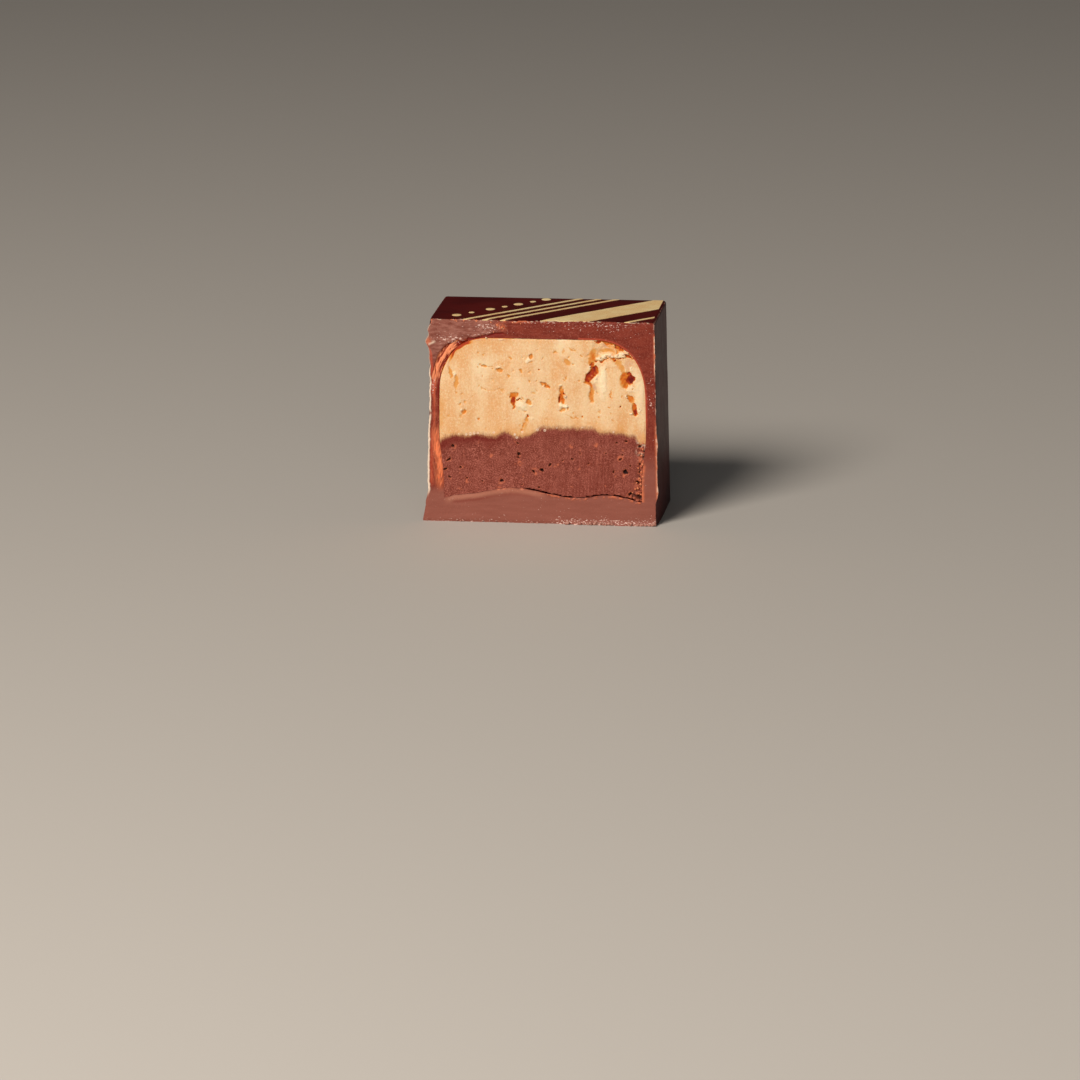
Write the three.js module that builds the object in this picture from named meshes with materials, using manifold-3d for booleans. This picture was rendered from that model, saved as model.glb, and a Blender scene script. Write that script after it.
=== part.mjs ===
// A square moulded chocolate bonbon, cut in half with a knife. The cut face looks along -Y.
//
// Four solids, as they were poured: a dark chocolate shell (top, two sides and the uncut back), a blond
// praline, a dark ganache under it, and the chocolate layer that closes the base. The shell comes out of a
// mould, so its sides lean out a little towards the base and its cavity has wide round corners. Each layer
// keeps the marks of the cut: drag waves, a torn inner edge, air holes and crumbs.
//
// Millimetres, +Z up. The origin is the middle of the footprint, on the surface that the half stands on.
import * as THREE from "three";
import { mergeVertices } from "three/addons/utils/BufferGeometryUtils.js";
import Module from "manifold-3d";

// Driving dimensions of the whole bonbon
const topWidth = 25.0; // square top
const height = 23.0;
const lean = 0.4; // how far each side stands out at the base
const edgeRadius = 0.35; // outer edges and corners, as the mould leaves them
const baseThickness = 2.7; // closing layer, where it meets the walls

// The cut
const halfDepth = 12.0; // from the cut to the back, at the top
const cutY = topWidth / 2 - halfDepth;

// The cavity in the shell
const wall = 1.2;
const wallFoot = { extra: 0.6, from: 11, to: 4 }; // the walls thicken towards the base
const roof = 2.05;
const roofCorner = { run: 5.7, fall: 6.6, power: 2.35 }; // the wide corner under the roof
const plumbCorner = 3.2; // corner radius seen from above
const seam = 0.2; // what the fillings keep clear of the shell and of each other

// Heights of the layers
const interfaceHeight = 10.35; // ganache to praline, mean
const humpHeight = 1.35; // the base swells up into the cavity

// ---------------------------------------------------------------- small helpers
const smooth = (low, high, value) => {
  const t = Math.min(1, Math.max(0, (value - low) / (high - low)));
  return t * t * (3 - 2 * t);
};
const bell = (value, centre, spread) => Math.exp(-(((value - centre) / spread) ** 2));

const outerHalf = (z) => topWidth / 2 + lean * (1 - z / height);
const innerHalf = (z) => outerHalf(z) - wall - wallFoot.extra * smooth(wallFoot.from, wallFoot.to, z);
const ceiling = height - roof;
const springing = ceiling - roofCorner.fall; // where the wide corner starts

const wasm = await Module();
wasm.setup();

function solidOf(geometry) {
  const bare = geometry.clone();
  bare.deleteAttribute("normal");
  bare.deleteAttribute("uv");
  const merged = mergeVertices(bare, 1e-5);
  return new wasm.Manifold(
    new wasm.Mesh({
      numProp: 3,
      vertProperties: new Float32Array(merged.attributes.position.array),
      triVerts: new Uint32Array(merged.index.array),
    }),
  );
}

function geometryOf(solid) {
  const { vertProperties, triVerts } = solid.getMesh();
  const indexed = new THREE.BufferGeometry();
  indexed.setAttribute("position", new THREE.BufferAttribute(new Float32Array(vertProperties), 3));
  indexed.setIndex(new THREE.BufferAttribute(new Uint32Array(triVerts), 1));
  const flat = indexed.toNonIndexed();
  flat.computeVertexNormals();
  return flat;
}

// ---------------------------------------------------------------- rings and lofts
// A square with round corners, anticlockwise seen from above.
function roundSquare(half, radius, z, steps) {
  const ring = [];
  for (let corner = 0; corner < 4; corner++) {
    const start = (corner * Math.PI) / 2;
    const cx = (half - radius) * Math.sign(Math.cos(start + Math.PI / 4));
    const cy = (half - radius) * Math.sign(Math.sin(start + Math.PI / 4));
    for (let i = 0; i <= steps; i++) {
      const angle = start + (i / steps) * (Math.PI / 2);
      ring.push([cx + radius * Math.cos(angle), cy + radius * Math.sin(angle), z]);
    }
  }
  return ring;
}

// Rings of equal count, lowest first, skinned and closed with a fan at each end.
function loft(rings) {
  const count = rings[0].length;
  const points = rings.flat();
  const faces = [];
  for (let r = 0; r + 1 < rings.length; r++) {
    for (let i = 0; i < count; i++) {
      const a = r * count + i;
      const b = r * count + ((i + 1) % count);
      faces.push([a, b, b + count], [a, b + count, a + count]);
    }
  }
  const low = points.push([0, 0, rings[0][0][2]]) - 1;
  const high = points.push([0, 0, rings.at(-1)[0][2]]) - 1;
  const last = (rings.length - 1) * count;
  for (let i = 0; i < count; i++) {
    const j = (i + 1) % count;
    faces.push([low, j, i], [high, last + i, last + j]);
  }
  return meshOf(points, faces);
}

function meshOf(points, faces) {
  const geometry = new THREE.BufferGeometry();
  geometry.setAttribute("position", new THREE.Float32BufferAttribute(points.flat(), 3));
  geometry.setIndex(faces.flat());
  return geometry;
}

// A block under a wavy lid. place(u, v, height) turns grid coordinates and the lid's height into a point,
// so that one function makes the layers (lid up) and the knife (lid towards the food).
function blockUnder(lid, uRange, vRange, step, floor, place) {
  const nu = Math.round((uRange[1] - uRange[0]) / step);
  const nv = Math.round((vRange[1] - vRange[0]) / step);
  const points = [];
  const faces = [];
  for (const top of [true, false]) {
    for (let j = 0; j <= nv; j++) {
      for (let i = 0; i <= nu; i++) {
        const u = uRange[0] + (i / nu) * (uRange[1] - uRange[0]);
        const v = vRange[0] + (j / nv) * (vRange[1] - vRange[0]);
        points.push(place(u, v, top ? lid(u, v) : floor));
      }
    }
  }
  const half = (nu + 1) * (nv + 1);
  const quad = (a, b, c, d) => faces.push([a, b, c], [a, c, d]);
  for (let j = 0; j < nv; j++) {
    for (let i = 0; i < nu; i++) {
      const a = j * (nu + 1) + i;
      const b = a + nu + 1;
      quad(a, a + 1, b + 1, b);
      quad(half + a, half + b, half + b + 1, half + a + 1);
    }
  }
  for (let i = 0; i < nu; i++) {
    const far = nv * (nu + 1) + i;
    quad(half + i, half + i + 1, i + 1, i);
    quad(far, far + 1, half + far + 1, half + far);
  }
  for (let j = 0; j < nv; j++) {
    const near = j * (nu + 1);
    const far = near + nu;
    quad(near, near + nu + 1, half + near + nu + 1, half + near);
    quad(half + far, half + far + nu + 1, far + nu + 1, far);
  }
  return meshOf(points, faces);
}

// ---------------------------------------------------------------- outer block and cavity
// The whole bonbon as it leaves the mould.
function wholeBonbon() {
  const cornerSteps = 3;
  const rings = [roundSquare(outerHalf(0), edgeRadius, 0, cornerSteps)];
  const edgeSteps = 3;
  for (let i = 0; i <= edgeSteps; i++) {
    const angle = (i / edgeSteps) * (Math.PI / 2);
    const z = height - edgeRadius * (1 - Math.sin(angle));
    const inset = edgeRadius * (1 - Math.cos(angle));
    rings.push(roundSquare(outerHalf(z) - inset, Math.max(0.05, edgeRadius - inset), z, cornerSteps));
  }
  return solidOf(loft(rings));
}

// The cavity, or what fills it when clear is more than 0.
function cavity(clear) {
  const cornerSteps = 6;
  const footSteps = 4;
  const roofSteps = 11;
  const below = -1; // starts under the base, so that the cut goes right through
  const rings = [roundSquare(innerHalf(below) - clear, plumbCorner, below, cornerSteps)];
  for (let i = 0; i <= footSteps; i++) {
    const z = wallFoot.to + (i / footSteps) * (wallFoot.from - wallFoot.to);
    rings.push(roundSquare(innerHalf(z) - clear, plumbCorner, z, cornerSteps));
  }
  for (let i = 0; i <= roofSteps; i++) {
    const t = Math.sin((i / roofSteps) * (Math.PI / 2));
    const z = springing + t * (roofCorner.fall - clear);
    const inset = roofCorner.run * (1 - (1 - t ** roofCorner.power) ** (1 / roofCorner.power));
    rings.push(roundSquare(innerHalf(z) - clear - inset, plumbCorner + inset / 3, z, cornerSteps));
  }
  return solidOf(loft(rings));
}

// ---------------------------------------------------------------- layer surfaces
// Top of the closing layer: flat under the walls, swollen inside the cavity, highest left of the middle.
function baseTop(x, y) {
  const inner = innerHalf(baseThickness);
  const within = smooth(0.9, 3.2, inner - Math.abs(x)) * smooth(0.9, 3.2, inner - Math.abs(y));
  const swell = bell(x, -3.2, 4.2) + 0.42 * bell(x, 7.2, 4.0) + 0.12 * Math.sin(0.8 * y + 1);
  return baseThickness + humpHeight * within * Math.max(0, swell);
}

// Where praline meets ganache: two low swells, drooping at the walls.
function layerLine(x, y) {
  const droop = 0.9 * smooth(9.4, 11.4, Math.abs(x)) + 0.5 * smooth(9.4, 11.4, Math.abs(y));
  const swell = 0.42 * bell(x, 3.2, 4.2) - 0.22 * bell(x, -2.2, 1.6) - 0.1 * bell(x, -8, 3);
  return interfaceHeight + swell + 0.09 * Math.sin(1.9 * x + 0.7 * y) - droop;
}

// ---------------------------------------------------------------- the cut
// Signed distance in the cut plane from the cavity's edge, positive in the chocolate, roughly.
function fromCavity(x, z) {
  const half = innerHalf(z);
  if (z < springing) return Math.abs(x) - half;
  const ax = Math.max(0, (Math.abs(x) - (half - roofCorner.run)) / roofCorner.run);
  const az = (z - springing) / roofCorner.fall;
  const reach = (ax ** roofCorner.power + az ** roofCorner.power) ** (1 / roofCorner.power);
  return (reach - 1) * (ax > az ? roofCorner.run : roofCorner.fall);
}

// How far the cut face of each layer lies behind the knife's plane at a point of it.
const dragWaves = (x, z) => 0.05 * (1 + Math.sin(0.9 * x + 0.25 * z) * Math.sin(0.6 * z - 0.2 * x + 1));
const cutDepth = {
  chocolate_shell: (x, z) => {
    const leftSide = smooth(-5.0, -8.5, x);
    const torn = 0.55 * leftSide * (1 - smooth(0.05, 0.85, fromCavity(x, z)));
    const ledge = 0.22 * smooth(-4.2, -7.5, x) * smooth(20.2, 19.4, z);
    const crumbled = 0.12 * smooth(22.6, 23.0, z) * (1 + Math.sin(3.1 * x));
    return dragWaves(x, z) + torn + ledge + crumbled;
  },
  blond_praline: (x, z) => {
    const streaks = 0.07 * (1 + Math.sin(2.3 * x + 0.4 * Math.sin(0.7 * z)));
    const scoop = 0.35 * bell(x, -1.5, 1.1) * bell(z, 12.0, 1.5);
    const flake = 0.4 * smooth(5.2, 6.4, x) * smooth(18.6, 19.3, z);
    return dragWaves(x, z) + streaks + scoop + flake;
  },
  dark_ganache: (x, z) => {
    const streaks = 0.04 * (1 + Math.sin(3.3 * x + 0.3 * Math.sin(0.9 * z)));
    const crumbly = 0.45 * smooth(10.0, 11.0, x) * (1.2 + Math.sin(3.0 * z));
    return dragWaves(x, z) + streaks + crumbly;
  },
  chocolate_base: (x, z) => {
    const lip = 0.1 * smooth(0.55, 1.0, z);
    return 0.05 * (1 + Math.sin(0.35 * x + 1)) + lip;
  },
};

function knife(depthAt, step) {
  const reach = outerHalf(0) + 1.5;
  const place = (x, z, y) => [x, y, z];
  // seen from +Y the grid runs the other way round, so x is mirrored to keep the faces pointing out
  const lid = (x, z) => cutY + depthAt(-x, z);
  const mirrored = (x, z, y) => place(-x, z, y);
  return solidOf(blockUnder(lid, [-reach, reach], [-1.5, height + 1.5], step, -topWidth, mirrored));
}

// An irregular stone: the shape of an air hole, or of a burr. Tilt turns it in the cut face.
function pebble([x, y, z], [width, tall, deep], tilt, seed) {
  const stone = new THREE.IcosahedronGeometry(1, 1);
  const at = stone.attributes.position;
  for (let i = 0; i < at.count; i++) {
    const [px, py, pz] = [at.getX(i), at.getY(i), at.getZ(i)];
    const swell = 1 + 0.22 * Math.sin(3.1 * px + seed) * Math.cos(2.7 * pz - 1.3 * seed + py);
    at.setXYZ(i, px * swell, py * swell, pz * swell);
  }
  stone.scale(width / 2, deep, tall / 2);
  stone.rotateY(tilt);
  stone.translate(x, y, z);
  return solidOf(stone);
}

// The larger air holes of each filling in the cut face. The knife stretched most of them upwards.
const hole = (x, z, width, tall, deep, tilt) => ({ x, z, size: [width, tall, deep], tilt });
const airHoles = {
  blond_praline: [
    hole(5.5, 17.0, 1.0, 2.1, 1.4, 0.25),
    hole(5.5, 14.8, 0.6, 1.9, 0.7, -0.1),
    hole(9.75, 16.5, 1.4, 1.6, 1.3, -0.4),
    hole(10.0, 13.6, 0.7, 1.9, 0.8, -0.55),
    hole(2.2, 14.5, 0.8, 1.9, 1.0, 0.15),
    hole(-3.0, 13.9, 1.0, 1.7, 1.0, 0.1),
    hole(-1.4, 11.7, 0.9, 1.7, 0.7, 0.2),
    hole(0.3, 15.8, 1.1, 0.6, 0.8, -0.2),
    hole(-8.8, 12.5, 0.9, 0.6, 0.5, 0.6),
    hole(-5.3, 17.4, 1.3, 0.5, 0.5, -0.2),
    hole(-1.2, 18.9, 0.8, 0.5, 0.5, 0),
    hole(2.8, 18.4, 1.0, 0.7, 0.4, -0.4),
    hole(-9.7, 16.2, 0.5, 1.5, 0.4, 0),
  ],
  dark_ganache: [
    hole(-0.5, 5.9, 0.8, 0.6, 0.5, 0.3),
    hole(-4.9, 4.9, 0.5, 0.4, 0.4, 0),
    hole(9.2, 5.6, 0.6, 0.7, 0.5, 0.4),
    hole(10.3, 3.6, 1.2, 0.7, 0.9, 0),
    hole(10.6, 7.0, 0.5, 1.6, 0.7, 0),
  ],
};

function withAirHoles(solid, name) {
  let result = solid;
  airHoles[name].forEach(({ x, z, size, tilt }, i) => {
    const surface = cutY + cutDepth[name](x, z);
    result = result.subtract(pebble([x, surface, z], size, tilt, i));
  });
  return result;
}

// ---------------------------------------------------------------- the four layers
const knifeStep = 0.62;
const layerStep = 0.9;

// A burr that the knife pushed out of the side, left of the roof.
const burr = { at: [-12.35, cutY + 0.75, 20.2], size: [0.8, 1.4, 0.5], tilt: 0.2, seed: 4 };

function layerBlock(lid, lift) {
  const reach = outerHalf(0) + 1;
  const place = (x, y, z) => [x, y, z];
  return solidOf(
    blockUnder((x, y) => lid(x, y) + lift, [-reach, reach], [-reach, reach], layerStep, -2, place),
  );
}

const cut = (solid, name) => solid.subtract(knife(cutDepth[name], knifeStep));

function chocolateShell() {
  const walls = wholeBonbon().subtract(cavity(0)).subtract(layerBlock(() => baseThickness, 0));
  return cut(walls.add(pebble(burr.at, burr.size, burr.tilt, burr.seed)), "chocolate_shell");
}

function chocolateBase() {
  return cut(wholeBonbon().intersect(layerBlock(baseTop, 0)), "chocolate_base");
}

function darkGanache() {
  const fill = cavity(seam).intersect(layerBlock(layerLine, -seam)).subtract(layerBlock(baseTop, seam));
  return withAirHoles(cut(fill, "dark_ganache"), "dark_ganache");
}

function blondPraline() {
  const fill = cavity(seam).subtract(layerBlock(layerLine, 0));
  return withAirHoles(cut(fill, "blond_praline"), "blond_praline");
}

// ---------------------------------------------------------------- the bonbon
const finishes = {
  chocolate_shell: { color: 0x5a1d12, roughness: 0.38, metalness: 0 },
  chocolate_base: { color: 0x6e3325, roughness: 0.5, metalness: 0 },
  dark_ganache: { color: 0x64291d, roughness: 0.62, metalness: 0 },
  blond_praline: { color: 0xe0a868, roughness: 0.55, metalness: 0 },
};

const layers = {
  chocolate_shell: chocolateShell,
  chocolate_base: chocolateBase,
  dark_ganache: darkGanache,
  blond_praline: blondPraline,
};

const bonbonHalf = new THREE.Group();
for (const [name, make] of Object.entries(layers)) {
  const mesh = new THREE.Mesh(geometryOf(make()), new THREE.MeshStandardMaterial(finishes[name]));
  mesh.name = name;
  bonbonHalf.add(mesh);
}

// The half stands with the middle of its footprint on the origin.
const frontY = cutY;
const backY = outerHalf(0);
bonbonHalf.position.set(0, -(frontY + backY) / 2, 0);

export default bonbonHalf;
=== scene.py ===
import math

import bmesh
import bpy
import numpy as np
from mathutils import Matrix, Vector


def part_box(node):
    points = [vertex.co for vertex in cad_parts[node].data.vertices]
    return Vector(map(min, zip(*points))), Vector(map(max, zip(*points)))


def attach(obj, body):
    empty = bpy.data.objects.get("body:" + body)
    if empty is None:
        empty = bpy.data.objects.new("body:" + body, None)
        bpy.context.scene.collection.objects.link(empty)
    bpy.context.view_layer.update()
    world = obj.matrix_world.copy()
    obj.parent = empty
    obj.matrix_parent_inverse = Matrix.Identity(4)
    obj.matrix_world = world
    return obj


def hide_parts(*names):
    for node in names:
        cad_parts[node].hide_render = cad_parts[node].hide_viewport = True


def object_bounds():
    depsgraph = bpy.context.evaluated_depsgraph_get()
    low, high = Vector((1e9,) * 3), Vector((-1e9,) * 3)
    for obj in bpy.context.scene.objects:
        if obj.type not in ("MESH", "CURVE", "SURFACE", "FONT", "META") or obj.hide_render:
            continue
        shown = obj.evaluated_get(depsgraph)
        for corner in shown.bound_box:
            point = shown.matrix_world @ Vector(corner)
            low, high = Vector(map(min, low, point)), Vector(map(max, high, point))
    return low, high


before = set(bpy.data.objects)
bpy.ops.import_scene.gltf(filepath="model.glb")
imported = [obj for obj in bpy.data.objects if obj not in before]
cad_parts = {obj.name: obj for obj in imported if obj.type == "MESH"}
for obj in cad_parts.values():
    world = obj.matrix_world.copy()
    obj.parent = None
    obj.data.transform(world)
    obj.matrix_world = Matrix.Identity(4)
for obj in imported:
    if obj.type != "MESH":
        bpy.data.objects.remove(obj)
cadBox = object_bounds()
print("frame loaded:", sorted(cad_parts))

# A square moulded bonbon, cut in half: blond praline over dark ganache in a chocolate shell, with a gilt
# print on top. Everything is worked out in millimetres, as the solids are; the meshes are in metres.
mm = 0.001
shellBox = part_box("chocolate_shell")
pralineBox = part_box("blond_praline")

bonbon = {
    "halfFoot": cadBox[1].x / mm,
    "height": cadBox[1].z / mm,
    "cutY": cadBox[0].y / mm,
    "backY": cadBox[1].y / mm,
    "lean": 0.4,  # how far each side stands out at the base
    "edge": 0.35,  # radius the mould leaves on outer edges
    "edgeTurns": [15, 30, 45, 60, 75, 88],  # degrees, stations round the rear edge
    "wallFoot": shellBox[0].z / mm,  # where the walls stand on the closing layer
}
cavity = {
    "seam": 0.2,  # what the solids keep clear of each other
    "wall": 1.2,
    "footExtra": 0.6,  # the walls thicken towards the base
    "footFrom": 11.0,
    "footTo": 4.0,
    "run": 5.7,  # the wide corner under the roof
    "fall": 6.6,
    "power": 2.35,
    "plumb": 3.4,  # corner radius seen from above
    "halfWidth": 11.4,
    "bendFrom": 9.8,  # above this the roof comes down towards the back
}
cavity["ceiling"] = pralineBox[1].z / mm + cavity["seam"]
cavity["backY"] = pralineBox[1].y / mm + cavity["seam"]
cavity["springing"] = cavity["ceiling"] - cavity["fall"]


# small helpers
def smooth(low, high, value):
    t = np.clip((value - low) / (high - low), 0, 1)
    return t * t * (3 - 2 * t)


def bell(value, centre, spread):
    return np.exp(-(((value - centre) / spread) ** 2))


def noise(u, v, seed):  # smooth lattice noise, -1 to 1
    size = 256
    lattice = np.random.default_rng(seed).uniform(-1, 1, (size, size))
    u, v = np.broadcast_arrays(np.asarray(u, float), np.asarray(v, float))
    iu, iv = np.floor(u).astype(int), np.floor(v).astype(int)
    fu, fv = u - iu, v - iv
    fu, fv = fu * fu * (3 - 2 * fu), fv * fv * (3 - 2 * fv)
    iu, iv, ju, jv = iu % size, iv % size, (iu + 1) % size, (iv + 1) % size
    low = lattice[iu, iv] * (1 - fu) + lattice[ju, iv] * fu
    high = lattice[iu, jv] * (1 - fu) + lattice[ju, jv] * fu
    return low * (1 - fv) + high * fv


def roughNoise(u, v, seed, octaves=4):
    total, share = 0, 1
    for octave in range(octaves):
        total = total + share * noise(u * 2**octave, v * 2**octave, seed + octave)
        share *= 0.55
    return total / 1.8


# outlines in the cut plane
def outerHalf(z):
    return bonbon["halfFoot"] - bonbon["lean"] * z / bonbon["height"]


def innerHalf(z):
    foot = cavity["footExtra"] * smooth(cavity["footFrom"], cavity["footTo"], z)
    return outerHalf(z) - cavity["wall"] - foot


def baseLine(x):  # top of the closing layer, highest left of the middle
    within = smooth(0, 1.4, innerHalf(bonbon["wallFoot"]) - abs(x))
    swell = 0.2 + 1.08 * bell(x, -3.2, 4.4) + 0.48 * bell(x, 7.2, 2.2)
    return bonbon["wallFoot"] + within * (swell + 0.03 * noise(x * 1.7, 0, 3))


def layerLine(x):  # praline over ganache
    z = 9.8 + 0.55 * bell(x, -4.2, 0.75) + 0.22 * bell(x, -7.3, 0.6)
    z = z + 1.1 * smooth(-2.2, 0.3, x) - 0.42 * smooth(5.4, 7.0, x)
    z = z - 0.35 * smooth(8.8, 9.8, x) - 0.8 * smooth(10.1, 10.9, x) - 0.6 * smooth(-10.2, -11.5, x)
    return z + 0.06 * noise(x * 2.1, 0, 5) + 0.05 * noise(x * 5.3, 0, 6)


def ledgeLine(x):  # where the smeared top-left corner breaks off
    z = 19.4 + 1.5 * smooth(-12.6, -8.0, x) + 0.6 * smooth(-8.0, -4.8, x) - 0.2 * smooth(-4.8, -3.8, x)
    return z + 0.12 * noise(x * 1.9, 0, 7) + 0.06 * noise(x * 6.0, 0, 8)


def flakeLine(x):  # pale flakes at the upper right of the praline
    at = [5.4, 5.9, 6.4, 6.9, 7.7, 8.7, 9.4, 10.2]
    z = np.interp(x, at, [18.62, 18.5, 18.78, 19.05, 19.13, 19.28, 19.36, 18.9])
    return z + 0.09 * noise(x * 3.1, 0, 9) + 0.05 * noise(x * 9.0, 0, 10)


def spaced(points, count):  # count steps of equal length along a polyline
    points = np.asarray(points, float)
    lengths = np.r_[0, np.cumsum(np.linalg.norm(np.diff(points, axis=0), axis=1))]
    at = np.linspace(0, lengths[-1], count + 1)
    return np.stack([np.interp(at, lengths, points[:, k]) for k in range(points.shape[1])], -1)


def cavityCorner(side, start, end, count=80):  # angles in degrees, 0 at the wall and 90 at the roof
    angle = np.radians(np.linspace(start, end, count))
    power = 2 / cavity["power"]
    across = np.clip(np.cos(angle), 0, 1) ** power
    up = np.clip(np.sin(angle), 0, 1) ** power
    z = cavity["springing"] + cavity["fall"] * up
    return np.stack([side * (innerHalf(z) - cavity["run"] * (1 - across)), z], -1)


def wallPoints(side, low, high, half, count=60):
    z = np.linspace(low, high, count)
    return np.stack([side * half(z), z], -1)


def fromCavity(x, z):  # distance from the cavity's edge, positive in the chocolate, roughly
    half = innerHalf(z)
    across = np.maximum(0, (abs(x) - (half - cavity["run"])) / cavity["run"])
    up = np.maximum(1e-6, (z - cavity["springing"]) / cavity["fall"])
    reach = (across ** cavity["power"] + up ** cavity["power"]) ** (1 / cavity["power"])
    corner = (reach - 1) * np.where(across > up, cavity["run"], cavity["fall"])
    return np.where(z < cavity["springing"], abs(x) - half, corner)


# the knife's marks, as depths behind its plane
def dragWaves(x, z):
    return 0.05 * (1 + np.sin(0.9 * x + 0.25 * z) * np.sin(0.6 * z - 0.2 * x + 1))


def chocolateGrain(x, z):
    fine = 0.014 * roughNoise(x * 6, z * 7, 11)
    strokes = 0.016 * noise(x * 0.7, z * 7, 15) * smooth(19.5, 21.5, z)
    return fine + strokes


def fillingStreaks(x, z):
    sway = x + 0.12 * np.sin(0.5 * z)
    broad = 0.65 * noise(sway * 0.7, z * 0.1, 16) + 0.35 * noise(sway * 1.9, z * 0.16, 18)
    fine = noise(sway * 4.2, z * 0.28, 17)
    return 0.024 * (1 + broad) + 0.008 * (1 + fine)


# painting by place
def drifted(x, z, seed):  # places moved about a little, which tears the outlines drawn with them
    sideways = 0.13 * noise(x * 1.5, z * 1.3, seed) + 0.1 * noise(x * 4, z * 3.5, seed + 1)
    upwards = 0.15 * noise(x * 1.5, z * 1.1, seed + 2) + 0.11 * noise(x * 4, z * 3.5, seed + 3)
    fineX, fineZ = (0.05 * noise(x * 9, z * 9, seed + number) for number in (4, 5))
    return x + sideways + fineX, z + upwards + fineZ


def oval(x, z, spot, soft=0.5):  # 1 inside and 0 outside; spot: x, z, width, height, lean
    dx, dz = x - spot[0], z - spot[1]
    cos, sin = math.cos(spot[4]), math.sin(spot[4])
    reach = 2 * np.hypot((dx * cos - dz * sin) / spot[2], (dx * sin + dz * cos) / spot[3])
    return smooth(1 + soft / 2, 1 - soft / 2, reach)


# meshes from arrays
def gridFaces(index):
    corners = index[:-1, :-1], index[1:, :-1], index[1:, 1:], index[:-1, 1:]
    return np.stack(corners, -1).reshape(-1, 4).tolist()


def bandFaces(ringA, ringB):  # two rings of vertex numbers of equal length
    return np.stack([ringA[:-1], ringA[1:], ringB[1:], ringB[:-1]], -1).tolist()


def thinningFaces(fine, keep, coarse):  # keep holds the fine ring's places that the coarse one has
    made = []
    for k in range(len(keep) - 1):
        run = fine[keep[k] : keep[k + 1] + 1]
        made.append([int(i) for i in run] + [int(coarse[k + 1]), int(coarse[k])])
    return made


def fanFaces(ring, middle):  # a closed ring's cap round one vertex
    return [[int(a), int(b), int(middle)] for a, b in zip(ring, np.roll(ring, -1))]


def coonsPatch(bottom, top, left, right):
    u = np.linspace(0, 1, len(bottom))[:, None, None]
    v = np.linspace(0, 1, len(left))[None, :, None]
    ruled = (1 - v) * bottom[:, None] + v * top[:, None] + (1 - u) * left[None] + u * right[None]
    corners = (1 - u) * (1 - v) * bottom[0] + u * (1 - v) * bottom[-1]
    corners = corners + (1 - u) * v * top[0] + u * v * top[-1]
    return ruled - corners


def rimOf(grid):  # the border of a grid, once round
    return np.concatenate([grid[:-1, 0], grid[-1, :-1], grid[:0:-1, -1], grid[0, :0:-1]])


class Mould:  # collects points, faces and marks until they become one piece
    def __init__(self, marks=()):
        self.points = []
        self.count = 0
        self.faces = []
        self.kinds = []
        self.marks = {name: [] for name in marks}

    def add(self, x, y, z, **marks):
        x, y, z = np.broadcast_arrays(x, y, z)
        self.points.append(np.stack([x, y, z], -1).reshape(-1, 3))
        index = np.arange(self.count, self.count + x.size).reshape(x.shape)
        self.count += x.size
        for name, values in self.marks.items():
            values.append(np.broadcast_to(marks.get(name, 0.0), x.shape).reshape(-1))
        return index

    def skin(self, faces, kind=0):
        self.faces += faces
        self.kinds += [kind] * len(faces)

    def cast(self, name, materials, node=None, sharp=62):
        mesh = bpy.data.meshes.new(name)
        mesh.from_pydata((np.concatenate(self.points) * mm).tolist(), [], self.faces)
        mesh.polygons.foreach_set("material_index", self.kinds)
        for mark, values in self.marks.items():
            attribute = mesh.attributes.new(mark, "FLOAT", "POINT")
            attribute.data.foreach_set("value", np.concatenate(values).astype(np.float32))
        tidy = bmesh.new()
        tidy.from_mesh(mesh)
        bmesh.ops.recalc_face_normals(tidy, faces=tidy.faces)
        loose = sum(1 for edge in tidy.edges if not edge.is_manifold)
        tidy.to_mesh(mesh)
        tidy.free()
        mesh.shade_smooth()
        mesh.set_sharp_from_angle(angle=math.radians(sharp))
        for material in materials:
            mesh.materials.append(material)
        piece = bpy.data.objects.new(name, mesh)
        bpy.context.scene.collection.objects.link(piece)
        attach(piece, "root")
        if node:
            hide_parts(node)
        print(f"{name}: {len(mesh.polygons)} faces, {loose} open edges")
        return piece


# colours and material nodes
def tone(red, green, blue, lit=0.83):  # sRGB 0-255 to linear; lit allows for the strong key light
    scaled = [c / 255 for c in (red, green, blue)]
    return tuple(lit * ((c + 0.055) / 1.055) ** 2.4 if c > 0.04 else lit * c / 12.92 for c in scaled) + (1,)


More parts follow.
